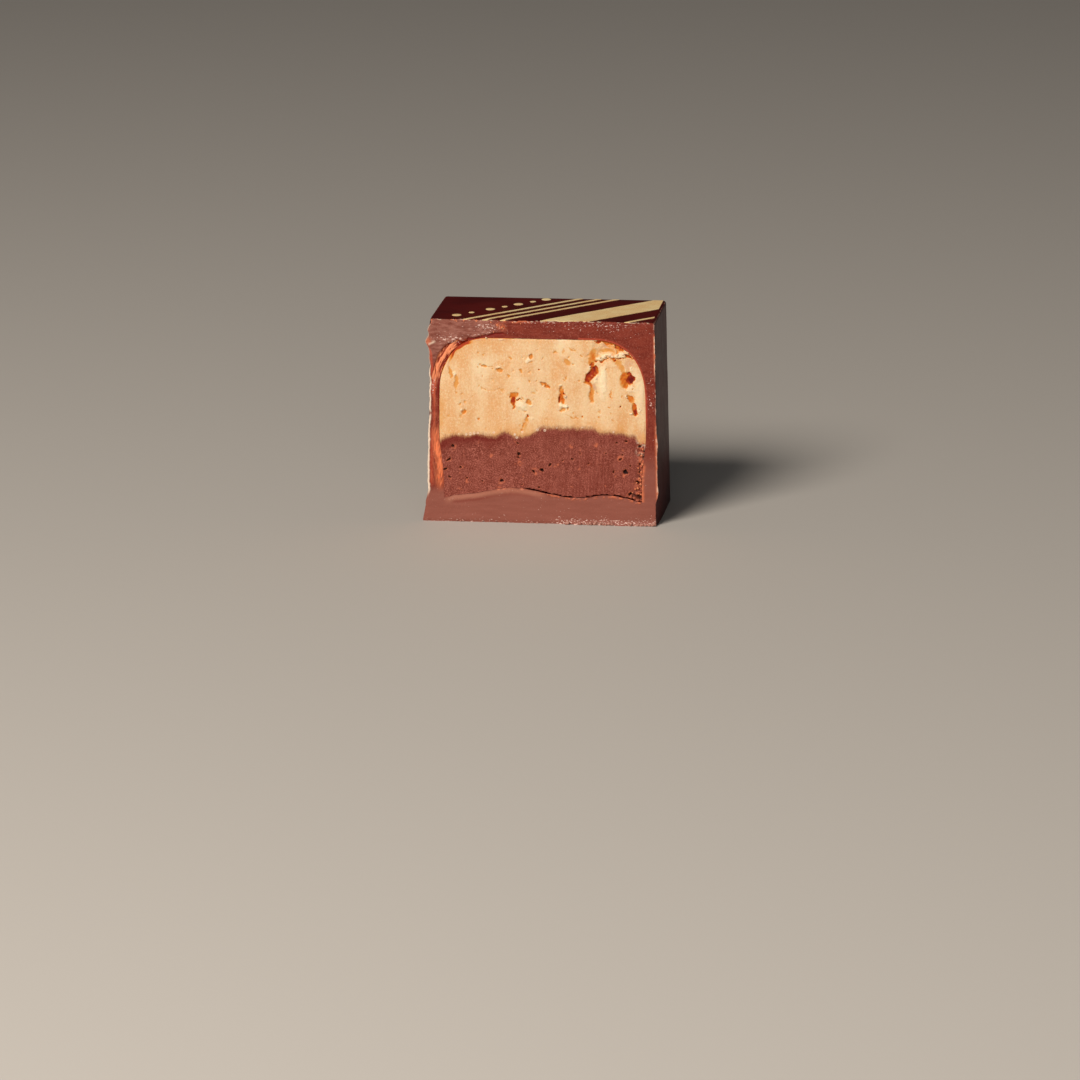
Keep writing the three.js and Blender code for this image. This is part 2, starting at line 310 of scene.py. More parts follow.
class Finish:  # a material, with short words for its nodes
    def __init__(self, name, sockets):
        self.material = bpy.data.materials.new(name)
        self.material.use_nodes = True
        self.tree = self.material.node_tree
        self.shader = self.tree.nodes["Principled BSDF"]
        for socket, value in sockets.items():
            self.shader.inputs[socket].default_value = value
        self.place = self.tree.nodes.new("ShaderNodeTexCoord").outputs["Object"]

    def node(self, kind, inputs, **settings):
        made = self.tree.nodes.new(kind)
        for key, value in settings.items():
            setattr(made, key, value)
        for key, value in inputs.items():
            if isinstance(value, bpy.types.NodeSocket):
                self.tree.links.new(value, made.inputs[key])
            else:
                made.inputs[key].default_value = value
        return made

    def mark(self, name):
        return self.node("ShaderNodeAttribute", {}, attribute_name=name).outputs["Fac"]

    def grain(self, scale, detail=3.0, rough=0.55, seed=0.0):  # features per mm, alike or along x, y and z
        scale = scale if isinstance(scale, tuple) else (scale,) * 3
        inputs = {"Vector": self.place, "Location": (seed,) * 3, "Scale": [s / mm for s in scale]}
        moved = self.node("ShaderNodeMapping", inputs).outputs[0]
        inputs = {"Vector": moved, "Scale": 1.0, "Detail": detail, "Roughness": rough}
        return self.node("ShaderNodeTexNoise", inputs).outputs["Fac"]

    def step(self, value, low, high):
        inputs = {"Value": value, "From Min": low, "From Max": high}
        return self.node("ShaderNodeMapRange", inputs, interpolation_type="SMOOTHSTEP").outputs["Result"]

    def times(self, a, b):
        return self.node("ShaderNodeMath", {0: a, 1: b}, operation="MULTIPLY").outputs[0]

    def plus(self, a, b):
        return self.node("ShaderNodeMath", {0: a, 1: b}, operation="ADD").outputs[0]

    def mix(self, share, a, b):
        return self.node("ShaderNodeMix", {0: share, 6: a, 7: b}, data_type="RGBA").outputs[2]

    def blend(self, value, low, high, a, b):
        return self.mix(self.step(value, low, high), a, b)

    def layered(self, shade, layers):  # each layer: its share, and the colour laid over what is there
        for share, colour in layers:
            shade = self.mix(share, shade, colour)
        return shade

    def colour(self, value):
        self.tree.links.new(value, self.shader.inputs["Base Color"])

    def roughness(self, value, low, high):
        inputs = {"Value": value, "To Min": low, "To Max": high}
        ranged = self.node("ShaderNodeMapRange", inputs).outputs["Result"]
        self.tree.links.new(ranged, self.shader.inputs["Roughness"])

    def bump(self, *heights):  # pairs of a value and its depth in mm
        normal = None
        for value, depth in heights:
            inputs = {"Height": value, "Distance": depth * mm, "Strength": 1.0}
            if normal:
                inputs["Normal"] = normal
            normal = self.node("ShaderNodeBump", inputs).outputs[0]
        self.tree.links.new(normal, self.shader.inputs["Normal"])


mouldedLook = {
    "chocolate": (tone(74, 8, 5), tone(92, 16, 10)),
    "fleck": tone(116, 40, 28),
    "worn": tone(214, 150, 128),  # painted highlight along the rounded edges
    "roughness": (0.3, 0.5),
    "shader": {"Specular IOR Level": 0.1},
}


def mouldedFinish():
    look = mouldedLook
    finish = Finish("mouldedChocolate", look["shader"])
    cloud = finish.grain(0.18, 4, 0.6)
    shade = finish.blend(cloud, 0.3, 0.7, *look["chocolate"])
    shade = finish.blend(finish.grain(9, 2), 0.66, 0.8, shade, look["fleck"])
    # the worn mark, broken up by noise, paints a highlight along the rounded edges
    worn = finish.step(finish.plus(finish.grain(1.6, 4, 0.7, 8), finish.mark("worn")), 0.95, 1.2)
    finish.colour(finish.mix(worn, shade, look["worn"]))
    finish.roughness(finish.grain(0.6, 5, 0.65, 3), *look["roughness"])
    finish.bump((finish.grain(0.25, 2), 0.05), (finish.grain(7, 3), 0.003))
    return finish.material


cutLook = {
    "chocolate": (tone(122, 40, 25), tone(140, 54, 37)),
    "grain": tone(160, 82, 64),
    "foot": (tone(152, 87, 72), tone(160, 94, 79)),  # the paler layer that closes the base
    "smear": (tone(136, 74, 60), tone(174, 114, 99)),  # the dragged corner
    "strand": (tone(144, 44, 24), tone(258, 158, 110)),  # the torn strip
    "glow": tone(206, 84, 56),
    "amber": tone(254, 138, 90),
    # dark red, used as painted shade under the smeared corner and in cracks
    "emberAndShade": tone(126, 24, 8),
    # whitish flecks, partly fat and partly painted glints
    "fleck": tone(246, 206, 192),
    # painted highlight on the cut's edges
    "rimHighlight": tone(255, 228, 202),
    "roughness": (0.42, 0.62),
    "shader": {"Specular IOR Level": 0.2},
}


def cutFinish():
    look = cutLook
    finish = Finish("cutChocolate", look["shader"])
    grain = finish.grain(5.5, 4, 0.65)
    cloud = finish.grain((0.5, 0.5, 1.2), 3)
    foot = finish.blend(finish.grain((0.3, 1, 2.2), 3, 0.5, 2), 0.3, 0.8, *look["foot"])
    smear = finish.blend(finish.grain((1.1, 3, 3.6), 3, 0.6), 0.3, 0.75, *look["smear"])
    strand = finish.blend(finish.mark("strand"), 0.05, 0.85, *look["strand"])
    gleam = finish.times(finish.mark("gleam"), 0.15)
    flecks = finish.plus(finish.grain((3.6, 6, 8.5), 2, 0.6, 5), gleam)
    shade = finish.blend(cloud, 0.35, 0.65, *look["chocolate"])
    layers = [
        (finish.step(grain, 0.46, 0.74), look["grain"]),
        (finish.mark("foot"), foot),
        (finish.mark("smear"), smear),
        (finish.mark("glow"), look["glow"]),
        (finish.mark("torn"), strand),
        (finish.mark("amber"), look["amber"]),
        (finish.mark("emberAndShade"), look["emberAndShade"]),
        (finish.step(flecks, 0.7, 0.76), look["fleck"]),
        (finish.mark("rimHighlight"), look["rimHighlight"]),
    ]
    finish.colour(finish.layered(shade, layers))
    finish.roughness(grain, *look["roughness"])
    finish.bump((grain, 0.02), (finish.grain(22, 2), 0.008))
    return finish.material


def smearedSeam(finish):  # 1 in the praline, 0 in the ganache, blurred and dragged by the knife
    streak = finish.grain((1.5, 1.5, 0.5), 4, 0.6, 9)
    fine = finish.grain((8, 8, 4), 2, 0.5, 4)
    drag = finish.plus(finish.times(streak, 0.6), finish.times(fine, 0.65))
    return finish.step(finish.plus(finish.mark("overSeam"), finish.plus(drag, -0.62)), -0.38, 0.5)


seamTones = {
    "praline": tone(238, 184, 126),
    "ganache": tone(136, 60, 44),
    "speck": tone(255, 226, 200),
}

ganacheLook = {
    "ganache": (tone(134, 60, 45), tone(158, 82, 67)),
    "grain": tone(204, 124, 106),
    "hollow": tone(94, 28, 18),
    "line": tone(126, 54, 42),  # fine upright lines that the knife left
    "spot": tone(206, 112, 80),
    # dark red near the seam, and painted shade in the fine lines
    "emberAndShade": tone(114, 20, 7),
    "halo": tone(208, 112, 80),  # round the air holes
    # painted shade in the air holes and the crumbly edge
    "pitShade": tone(38, 8, 5),
    "shader": {"Specular IOR Level": 0.2, "Roughness": 0.6},
}


def ganacheFinish():
    look = ganacheLook
    finish = Finish("darkGanache", look["shader"])
    grain = finish.grain(8.5, 2, 0.6)
    cloud = finish.grain(1.1, 3, 0.6, 7)
    striae = finish.mark("striae")
    calm = finish.plus(finish.times(striae, -0.2), 0.8)
    lines = finish.step(finish.grain((4.2, 4.2, 0.24), 3, 0.6, 6), 0.44, 0.64)
    spots = finish.step(finish.grain(1.7, 3, 0.6, 12), 0.66, 0.72)
    shade = finish.blend(cloud, 0.3, 0.7, *look["ganache"])
    layers = [
        (finish.times(finish.step(grain, 0.48, 0.7), calm), look["grain"]),
        (finish.times(finish.step(grain, 0.5, 0.3), 0.7), look["hollow"]),
        (finish.times(lines, finish.times(striae, 0.4)), look["line"]),
        (finish.times(spots, 0.6), look["spot"]),
        (finish.mark("emberAndShade"), look["emberAndShade"]),
        (smearedSeam(finish), seamTones["praline"]),
        (finish.mark("halo"), look["halo"]),
        (finish.mark("speck"), seamTones["speck"]),
        (finish.mark("pitShade"), look["pitShade"]),
    ]
    finish.colour(finish.layered(shade, layers))
    finish.bump((grain, 0.03), (lines, 0.01))
    return finish.material


pralineLook = {
    "praline": (tone(241, 182, 122), tone(250, 209, 160)),
    "streak": tone(256, 226, 180),
    "lightGrain": tone(260, 230, 186),
    "darkGrain": tone(220, 152, 92),
    "ashen": tone(220, 164, 132),
    "pale": tone(264, 244, 204),
    "warmthAndShadeTones": [  # painted warm light and shade in the holes, from the blush round a hole to its dark red depth: from, to, tone
        (0.06, 0.34, tone(236, 164, 84)),
        (0.34, 0.56, tone(226, 122, 30)),
        (0.56, 0.78, tone(178, 54, 6)),
        (0.78, 0.97, tone(116, 12, 0)),
    ],
    "shader": {
        "Specular IOR Level": 0.25,
        "Roughness": 0.5,
        "Subsurface Weight": 0.12,
        "Subsurface Radius": (1.0, 0.45, 0.2),
        "Subsurface Scale": 0.4 * mm,
    },
}


def pralineFinish():
    look = pralineLook
    finish = Finish("blondPraline", look["shader"])
    blotch = finish.grain((0.36, 0.36, 0.17), 1.5, 0.5, 1)
    streak = finish.grain((1.2, 1.2, 0.24), 4, 0.6)
    fine = finish.grain((6, 6, 5), 3, 0.65, 2)
    shade = finish.blend(blotch, 0.35, 0.65, *look["praline"])
    grains = [
        (finish.step(streak, 0.42, 0.95), look["streak"]),
        (finish.times(finish.step(fine, 0.46, 0.66), 0.5), look["lightGrain"]),
        (finish.times(finish.step(fine, 0.46, 0.3), 0.3), look["darkGrain"]),
    ]
    shade = finish.mix(smearedSeam(finish), seamTones["ganache"], finish.layered(shade, grains))
    warmthAndShade = finish.mark("warmthAndShade")
    layers = [(finish.mark("ashen"), look["ashen"]), (finish.mark("pale"), look["pale"])]
    layers += [(finish.step(warmthAndShade, low, high), colour) for low, high, colour in look["warmthAndShadeTones"]]
    layers += [(finish.mark("speck"), seamTones["speck"])]
    finish.colour(finish.layered(shade, layers))
    finish.bump((fine, 0.02), (finish.grain(14, 3), 0.012))
    return finish.material


giltLook = {
    "gilt": (tone(268, 224, 156), tone(274, 246, 182)),
    "speckle": tone(176, 124, 66),
    "roughness": (0.3, 0.5),
    "shader": {"Specular IOR Level": 0.5},
}


def giltFinish():
    look = giltLook
    finish = Finish("giltPrint", look["shader"])
    speckle = finish.grain(11, 3, 0.7)
    shade = finish.blend(finish.grain(0.5, 3), 0.3, 0.7, *look["gilt"])
    finish.colour(finish.blend(speckle, 0.56, 0.72, shade, look["speckle"]))
    finish.roughness(speckle, *look["roughness"])
    finish.bump((speckle, 0.006))
    return finish.material


def crumbFinish(name, darkTone, lightTone):
    finish = Finish(name, {"Specular IOR Level": 0.4, "Roughness": 0.5})
    finish.colour(finish.blend(finish.grain(5, 3), 0.3, 0.7, darkTone, lightTone))
    finish.bump((finish.grain(12, 3), 0.01))
    return finish.material


moulded = mouldedFinish()
cut = cutFinish()
print("chocolate finishes ready")


# where the outside leaves its plain form near the cut
outsideWear = {
    "fade": 0.5,  # how soon it dies away behind the cut
    "footFade": 2.5,
    "footTop": 4,
    "burr": 20.45,  # height of the burr on the left edge
}


def raggedLeft(z):
    worn = -0.4 * smooth(22.0, 23.0, z) - 0.12 * smooth(19.8, 18.0, z) * smooth(9.0, 12.0, z)
    burr = 0.38 * bell(z, outsideWear["burr"], 0.5) + 0.16 * bell(z, 21.73, 0.25)
    foot = 0.42 * smooth(3.2, 0.0, z) + 0.1 * smooth(3.6, 3.0, z)
    return worn + burr + foot + 0.05 * noise(z * 1.3, 0, 21) + 0.02 * noise(z * 5, 0, 22)


def raggedRight(z):
    foot = -0.25 * smooth(3.4, 2.4, z) + 0.1 * bell(z, 9.3, 0.8) + 0.08 * bell(z, 4.2, 0.5)
    return foot - 0.05 + 0.03 * noise(z * 1.3, 0, 23) + 0.02 * noise(z * 5, 0, 24)


def raggedTop(x):
    return -0.1 * bell(x, -3, 4) + 0.05 * noise(x * 1.8, 0, 25) + 0.03 * noise(x * 6, 0, 26)


def pushedOut(x, y, z, sideways, upwards):  # how far a point of the outline stands proud at depth y
    back = np.maximum(0, y - bonbon["cutY"])
    fade = np.where(z < outsideWear["footTop"], outsideWear["footFade"], outsideWear["fade"])
    side = np.where(x < 0, raggedLeft(z), raggedRight(z)) * np.exp(-back / fade)
    side = side + 0.012 * noise(y * 0.35 + 7, z * 0.3, 31)
    top = raggedTop(x) * np.exp(-back / outsideWear["fade"]) * np.maximum(0, upwards) ** 2
    return side * abs(sideways) ** 2 + top


def backAt(z):  # the back leans as the sides do
    return bonbon["backY"] - bonbon["lean"] * z / bonbon["height"]


def topSkin(x, y):  # height of the moulded top
    back = np.maximum(0, y - bonbon["cutY"])
    return bonbon["height"] + raggedTop(x) * np.exp(-back / outsideWear["fade"])


def intoCavity(x, z, y):  # the cavity narrows and comes down towards the back
    turn = np.clip((y - (cavity["backY"] - cavity["plumb"])) / cavity["plumb"], 0, 1)
    dome = np.clip((y - (cavity["backY"] - cavity["run"])) / cavity["run"], 0, 1) ** cavity["power"]
    narrow = 1 - cavity["plumb"] / cavity["halfWidth"] * (1 - np.sqrt(1 - turn**2))
    drop = cavity["fall"] * (1 - (1 - dome) ** (1 / cavity["power"]))
    rise = np.clip((z - cavity["bendFrom"]) / (cavity["ceiling"] - cavity["bendFrom"]), 0, 1)
    return x * narrow, z - drop * rise


cavityStations = [1.0, 2.6, 5.4, 7.6, 8.8, 9.7, 10.4, 10.8, 11.0]  # behind the knife


# the shell
shell = {
    "step": 0.078,  # along the cut, mm
    "across": 36,
    "thinning": 6,  # behind the cut every sixth point is kept
    "fineRings": (0.12, 0.3, 0.55, 1.0),  # shares of the stretch that stays fine
    "fineEnd": 0.9,
    "tornDepth": 0.16,
    "knot": (-4.45, 22.2),  # the amber knot under the top edge
    "gleams": [  # whitish patches of dragged fat and painted glints: x, z, width, height, strength
        (-10.3, 20.75, 1.6, 0.55, 1.25),
        (-6.0, 22.2, 1.7, 0.4, 1.15),
        (-0.5, 22.75, 3, 0.2, 0.75),
        (6.5, 22.6, 3, 0.22, 0.8),
        (7.8, 22.05, 1.4, 0.14, 0.6),
    ],
}


def shellOutlines():
    half, edge, height = outerHalf(bonbon["height"]), bonbon["edge"], bonbon["height"]
    springing, foot = cavity["springing"], bonbon["wallFoot"]
    roofEnd = float(innerHalf(cavity["ceiling"]) - cavity["run"])
    angle = np.radians(np.linspace(0, 90, 25))
    arc = np.stack([-(half - edge + edge * np.cos(angle)), height - edge + edge * np.sin(angle)], -1)
    lengths = (springing - foot, height - springing, half - roofEnd)
    steps = [round(length / shell["step"]) for length in lengths]
    inner = [
        spaced(wallPoints(-1, foot, springing, innerHalf), steps[0]),
        spaced(cavityCorner(-1, 0, 45), steps[1]),
        spaced(cavityCorner(-1, 45, 90), steps[2]),
    ]
    outer = [
        spaced(wallPoints(-1, foot, springing, outerHalf), steps[0]),
        spaced(np.r_[wallPoints(-1, springing, height - edge, outerHalf), arc[:13]], steps[1]),
        spaced(np.r_[arc[12:], [[-roofEnd, height]]], steps[2]),
    ]
    roof = np.linspace(-roofEnd, roofEnd, 2 * round(roofEnd / shell["step"]) + 1)
    lines = []
    for parts, z in ((inner, cavity["ceiling"]), (outer, height)):
        left = np.concatenate([part[:-1] for part in parts])
        middle = np.stack([roof, np.full_like(roof, z)], -1)
        lines.append(np.concatenate([left, middle, (left * [-1, 1])[::-1]]))
    return lines[0], lines[1], steps[0] + steps[1]


def outwards(outer):  # the outline's normals, level on the walls and upright on the roof
    edge, height = bonbon["edge"], bonbon["height"]
    over = np.clip(outer[:, 1] - (height - edge), 0, edge) / edge
    onRoof = (abs(outer[:, 0]) < outerHalf(height) - edge) & (outer[:, 1] > height - edge)
    upwards = np.where(onRoof, 1.0, over)
    return np.stack([np.sign(outer[:, 0]) * np.sqrt(1 - upwards**2), upwards], -1)


# the cut chocolate's marks; inside and outside are the distances from its two edges, along is the way
# round the cavity
cutMarks = ("torn", "strand", "amber", "smear", "glow", "emberAndShade", "gleam", "rimHighlight", "foot")


def leftWall(x, z):
    return (x < -10.5) * smooth(17.0, 15.5, z) * smooth(3.6, 5.0, z)


def fromRight(x, z):  # distance from the right side, and a large number elsewhere
    return np.where(x > 11, outerHalf(z) - x, 9)


def tearWidth(x, along):  # of the torn strip round the upper left of the cavity
    width = np.interp(x, [-11.4, -10.3, -9.5, -8.7, -7.6, -6.9], [1.12, 1.0, 0.62, 0.5, 0.14, 0.0])
    return width + 0.04 * noise(along * 1.4, 0, 40)


def underLedge(x, z):  # the hollow right under the smeared corner, where shade is painted dark red
    under = smooth(0.05, -0.06, z - ledgeLine(x))
    return under * smooth(-9.0, -8.2, x) * smooth(-3.5, -4.4, x) * smooth(19.6, 20.1, z)


def tornMark(x, z, inside, outside, along):  # up the left wall, then over the corner as a narrowing tail
    tail = np.interp(x, [-9.6, -8.7, -7.6, -6.9], [0.0, 0.15, 0.45, 0.9])
    upright = smooth(0.1, -0.06, inside - tearWidth(x, along))
    slanted = smooth(0.04, -0.06, z - ledgeLine(x) + tail) * (x < -6)
    torn = np.where(x < -10.3, upright, slanted) * smooth(15.0, 17.0, z)
    return np.maximum(torn, 0.14 * leftWall(x, z) * smooth(0.25, 0.4, outside))


def strandMark(x, inside, along):  # 0 in the dark partings of the torn strip, 1 on its pale strands
    strand = 0.45 + 0.4 * noise(along * 0.8, inside * 5 + 0.6 * noise(along * 1.5, 0, 41), 42)
    strand = strand + 1.2 * noise(along * 1.6, inside * 11 + 1.5 * noise(along * 1.2, 0, 33), 43)
    parting = smooth(0.1, 0.5, noise(along * 1.2, inside * 8 + 1.3 * noise(along * 0.9, 0, 33), 49))
    return strand - 0.6 * parting + 0.16 - 0.2 * smooth(-9.2, -8.2, x)


def amberMark(x, z, inside, outside, along):
    # streaks low down in the left wall, painted warm light on its recessed inner half, and the burr
    streak = bell(inside, 0.42 + 0.06 * noise(z * 0.8, 0, 39), 0.36)
    streak = streak * smooth(11.2, 9.2, z) * smooth(3.2, 5.4, z)
    amber = (x < 0) * streak * (0.95 + 0.8 * noise(along * 2.6 + inside * 5, inside * 7, 44))
    amber = amber + 0.55 * bell(x, -12.6, 0.3) * bell(z, outsideWear["burr"], 0.38)

    # the knot and the top edge
    knotX, knotZ = shell["knot"]
    knot = bell(x, knotX, 0.42) * bell(z, knotZ - 0.3 * (x + 4.4), 0.28)
    amber = amber + knot * (0.8 + 0.9 * noise(x * 2.4 + z * 2, x * 5 - z * 5, 35))
    topEdge = smooth(0.28, 0.08, outside) * (z > 22) * smooth(0.1, 0.6, noise(x * 2.2, z * 3, 48))
    amber = amber + 0.45 * topEdge * smooth(2, -2, x)

    # by the cavity at the lower right, under the smeared corner, and down the right side
    lowRight = smooth(3.0, 4.5, x) * bell(inside, 0.08, 0.18) * smooth(7.6, 6.4, z)
    amber = amber + 0.6 * lowRight * (0.7 + 0.4 * noise(z * 4, 0, 37))
    amber = amber + 0.6 * underLedge(x, z) * smooth(0.2, 0.55, noise(x * 2.6, z * 6, 36))
    side = fromRight(x, z)
    amber = amber + 0.55 * smooth(0.3, 0.1, side) * smooth(16.5, 18, z) * smooth(21.9, 21.2, z)
    return amber + 0.5 * smooth(0.34, 0.08, side) * smooth(12.5, 10.5, z) * smooth(2.6, 3.4, z)


def smearMark(x, z, inside, along):  # ashen chocolate that the knife dragged over the corner
    beside = (x < -10.4) * smooth(0.0, 0.16, inside - tearWidth(x, along))
    aside = np.maximum(smooth(0.0, 0.15, z - ledgeLine(x)), beside)
    return smooth(-3.4, -6.5, x) * aside * smooth(17.2, 18.8, z) * (1 - 0.1 * smooth(21.8, 22.8, z))


def glowMark(x, z, inside, outside):  # where light comes through a thin wall
    wall = leftWall(x, z)
    glow = 0.75 * (x < 0) * bell(outside, 0.38, 0.22) * smooth(13.5, 15.5, z) * smooth(20.4, 19.2, z)
    glow = glow + 0.6 * wall * bell(outside, 0.42, 0.22) * smooth(11.5, 9.0, z)
    glow = glow + 0.6 * wall * bell(inside, 0.55, 0.1) * smooth(10, 11.5, z)
    return glow + 0.75 * (x > 4) * bell(inside, 0.05, 0.12) * smooth(10.5, 12, z)


def emberAndShadeMark(x, z, inside):  # dark red: painted shade under the smeared corner and in the crack along the cavity's upper left edge, and dark red stripes down the left wall
    wall = leftWall(x, z)
    hollow = 0.5 + 0.5 * bell(z - ledgeLine(x), -0.12, 0.16)
    emberAndShade = (x < -8.2) * bell(inside, 0.02, 0.09) * smooth(11.5, 13, z) + underLedge(x, z) * hollow
    stripe = wall * bell(inside, 0.2, 0.2) * smooth(13.8, 15, z)
    emberAndShade = emberAndShade + 0.6 * stripe * (0.7 + 0.5 * noise(z * 2, 0, 38))
    return emberAndShade + 0.4 * wall * bell(inside, 0.14, 0.12) * smooth(10.4, 11.2, z)


def gleamMark(x, z, inside):  # whitish flecks: pale fat that the knife drags out, and painted glints
    gleam = 0.7 * bell(x, -6.5, 2.4) * bell(z - ledgeLine(x), 0.25, 0.25)
    for atX, atZ, wide, high, strength in shell["gleams"]:
        gleam = gleam + strength * bell(x, atX, wide) * bell(z, atZ, high)
    gleam = gleam + 1.1 * leftWall(x, z) * bell(inside, 0.75, 0.25) * smooth(14, 15, z)
    gleam = gleam + 0.9 * bell(x, 12.05, 0.3) * np.maximum(bell(z, 16.4, 0.9), bell(z, 13.9, 1.1))
    return gleam + 0.35 * bell(z, 22.2, 0.8) * smooth(-1, 1, x)


def rimHighlightMark(x, z, outside):  # whitish painted highlights along the cut's edges: left, right, top, and a slanted nick in the burr
    wave = 1 + 0.22 * noise(z * 1.1, 0, 45) + 0.15 * noise(z * 4, 0, 46)
    wide = 0.1 + 0.11 * smooth(18.4, 15.8, z)
    rimHighlight = (x < -11) * smooth(wide * 1.15, wide * 0.6, outside / wave) * smooth(2.6, 3.8, z)
    rimHighlight = rimHighlight * (0.4 + 0.6 * smooth(18.8, 17, z)) * (1 - 0.85 * bell(z, 12.3, 0.25)) * (z < 22.4)
    # breaks the painted highlight on the right edge into dashes
    worn = 0.5 + 0.6 * noise(z * 3.2, 0, 47)
    bright = 0.4 + 0.6 * smooth(16.8, 18.3, z) * smooth(22.6, 21.6, z)
    bright = np.maximum(bright, np.maximum(bell(z, 9.2, 1.0), 0.9 * bell(z, 4.3, 0.7)))
    rimHighlight = rimHighlight + smooth(0.2, 0.05, fromRight(x, z)) * smooth(2.8, 3.4, z) * bright * worn
    top = smooth(0.16, 0.05, outside) * (z > 22.4)
    rimHighlight = rimHighlight + 0.55 * top * smooth(0.15, 0.45, noise(x * 4, z * 4, 32))
    nick = bell(z - 20.25, 0.5 * (x + 12.2), 0.09) * (x > -12.65) * (x < -11.8)
    return rimHighlight + nick * (0.7 + 0.8 * noise(x * 6, 0, 34))


def shellMarks(x, z, inside, outside, along):
    marks = {
        "torn": tornMark(x, z, inside, outside, along),
        "strand": strandMark(x, inside, along),
        "amber": amberMark(x, z, inside, outside, along),
        "smear": smearMark(x, z, inside, along),
        "glow": glowMark(x, z, inside, outside),
        "emberAndShade": emberAndShadeMark(x, z, inside),
        "gleam": gleamMark(x, z, inside),
        "rimHighlight": rimHighlightMark(x, z, outside),
        "foot": np.maximum(smooth(4.4, 3.0, z), 0.85 * (x > 0) * smooth(9.5, 5.5, z)),
    }
    return {name: np.clip(value, 0, 1) for name, value in marks.items()}


def chocolateDepth(x, z, outside, marks):
    depth = dragWaves(x, z) + chocolateGrain(x, z)
    strands = shell["tornDepth"] - 0.12 * (marks["strand"] - 0.5)
    depth = depth + marks["torn"] * strands * smooth(13, 16, z)
    depth = depth - 0.05 * marks["smear"] * (1 + roughNoise(x * 2, z * 3, 51))
    depth = depth - 0.05 * marks["gleam"] * np.clip(noise(x * 5, z * 8, 52), 0, 1)
    depth = depth + 0.1 * marks["emberAndShade"] * smooth(15.5, 17.5, z)
    depth = depth + 0.08 * marks["amber"] * (x < 0) * (z < 12) * (1 + noise(x * 8, z * 1.2, 53))
    chips = np.clip(roughNoise(x * 2.5, z * 2.5, 54) - 0.25, 0, 1)
    chipped = smooth(0.25, 0.0, outside) * (0.02 + np.where(x < -11, 0.12, 0.3) * chips)
    return depth - 0.06 * marks["rimHighlight"] + chipped


def makeShell():
    mould = Mould(cutMarks + ("worn",))
    inner, outer, corner = shellOutlines()
    normal = outwards(outer)
    cutY = bonbon["cutY"]
    upwards = normal[:, 1]
    onEdge = smooth(0.1, 0.5, upwards) * smooth(1.0, 0.75, upwards)

    def ringAt(rows, y, inset=0.0):
        x, z = outer[rows].T
        nx, nz = normal[rows].T
        move = pushedOut(x, y, z, nx, nz) - inset
        return x + nx * move, z + nz * move

    everyRow = np.arange(len(inner))

    def everyNth(n):
        return {i for i in everyRow if i % n == 0} | {everyRow[-1]}

    outerCut = np.stack(ringAt(everyRow, cutY), -1)
    share = np.linspace(0, 1, shell["across"] + 1)
    share = 0.5 * share + 0.25 * (1 - np.cos(np.pi * share))  # closer together at both edges
    face = inner[:, None] + share[None, :, None] * (outerCut - inner)[:, None]
    x, z = face[..., 0], face[..., 1]
    thick = np.linalg.norm(outerCut - inner, axis=1)[:, None]
    along = np.r_[0, np.cumsum(np.linalg.norm(np.diff(inner, axis=0), axis=1))][:, None]
    marks = shellMarks(x, z, thick * share, thick * (1 - share), along)
    y = cutY + chocolateDepth(x, z, thick * (1 - share), marks)
    front = mould.add(x, y, z, **marks)
    mould.skin(gridFaces(front), 1)

    # the outside: fine rings near the cut, then coarse ones to the back and round its edge
    edge = bonbon["edge"]
    near = round(edge * 1.6 / shell["step"]) + 2  # rows that the rounded edge takes up
    keep = everyNth(shell["thinning"])
    for middle in (corner, everyRow[-1] - corner):
        keep |= set(range(middle - near, middle + near + 1))
    keep = np.array(sorted(keep))
    start = cutY + shell["fineEnd"]
    rings = [front[:, -1]]
    for part in shell["fineRings"]:
        station = y[:, -1] + (start - y[:, -1]) * part
        sx, sz = ringAt(everyRow, station)
        # the worn mark paints a highlight along the rounded edges
        rings.append(mould.add(sx, station, sz, worn=0.6 * onEdge))
        mould.skin(bandFaces(rings[-2], rings[-1]))
    straight = [(t, 0.0) for t in np.linspace(0.06, 1, 14)]
    turning = [(1.0, a) for a in np.radians(bonbon["edgeTurns"])]
    for number, (t, a) in enumerate(straight + turning):
        z0 = outer[keep, 1]
        station = start + (backAt(z0) - edge - start) * t + edge * math.sin(a)
        sx, sz = ringAt(keep, station, edge * (1 - math.cos(a)))
        # the worn mark paints a highlight along the rounded edges and the rear top edge
        rearEdge = 0.45 * (z0 > bonbon["height"] - 0.1) * bell(a, 0.8, 0.4) * (a > 0)
        rings.append(mould.add(sx, station, sz, worn=np.maximum(0.55 * onEdge[keep], rearEdge)))
        if number == 0:
            mould.skin(thinningFaces(rings[-2], keep, rings[-1]))
        else:
            mould.skin(bandFaces(rings[-2], rings[-1]))
    mould.skin([rings[-1].tolist()])

    # the cavity
    keepIn = np.array(sorted(everyNth(2 * shell["thinning"])))
    tunnel = [front[:, 0]]
    for number, back in enumerate(cavityStations):
        line = inner if number == 0 else inner[keepIn]
        sx, sz = intoCavity(line[:, 0], line[:, 1], cutY + back)
        tunnel.append(mould.add(sx, cutY + back, sz))
        if number == 1:
            mould.skin(thinningFaces(tunnel[-2], keepIn, tunnel[-1]), 1)
        else:
            mould.skin(bandFaces(tunnel[-2], tunnel[-1]), 1)
    mould.skin([tunnel[-1].tolist()], 1)

    # foot of the walls, flat on the closing layer
    foot = list(front[0]) + [ring[0] for ring in rings[1:]] + [ring[-1] for ring in rings[:0:-1]]
    foot += list(front[-1, ::-1]) + [ring[-1] for ring in tunnel[1:]] + [ring[0] for ring in tunnel[:0:-1]]
    mould.skin([[int(i) for i in foot]])
    return mould.cast("shell", [moulded, cut], "chocolate_shell")


makeShell()


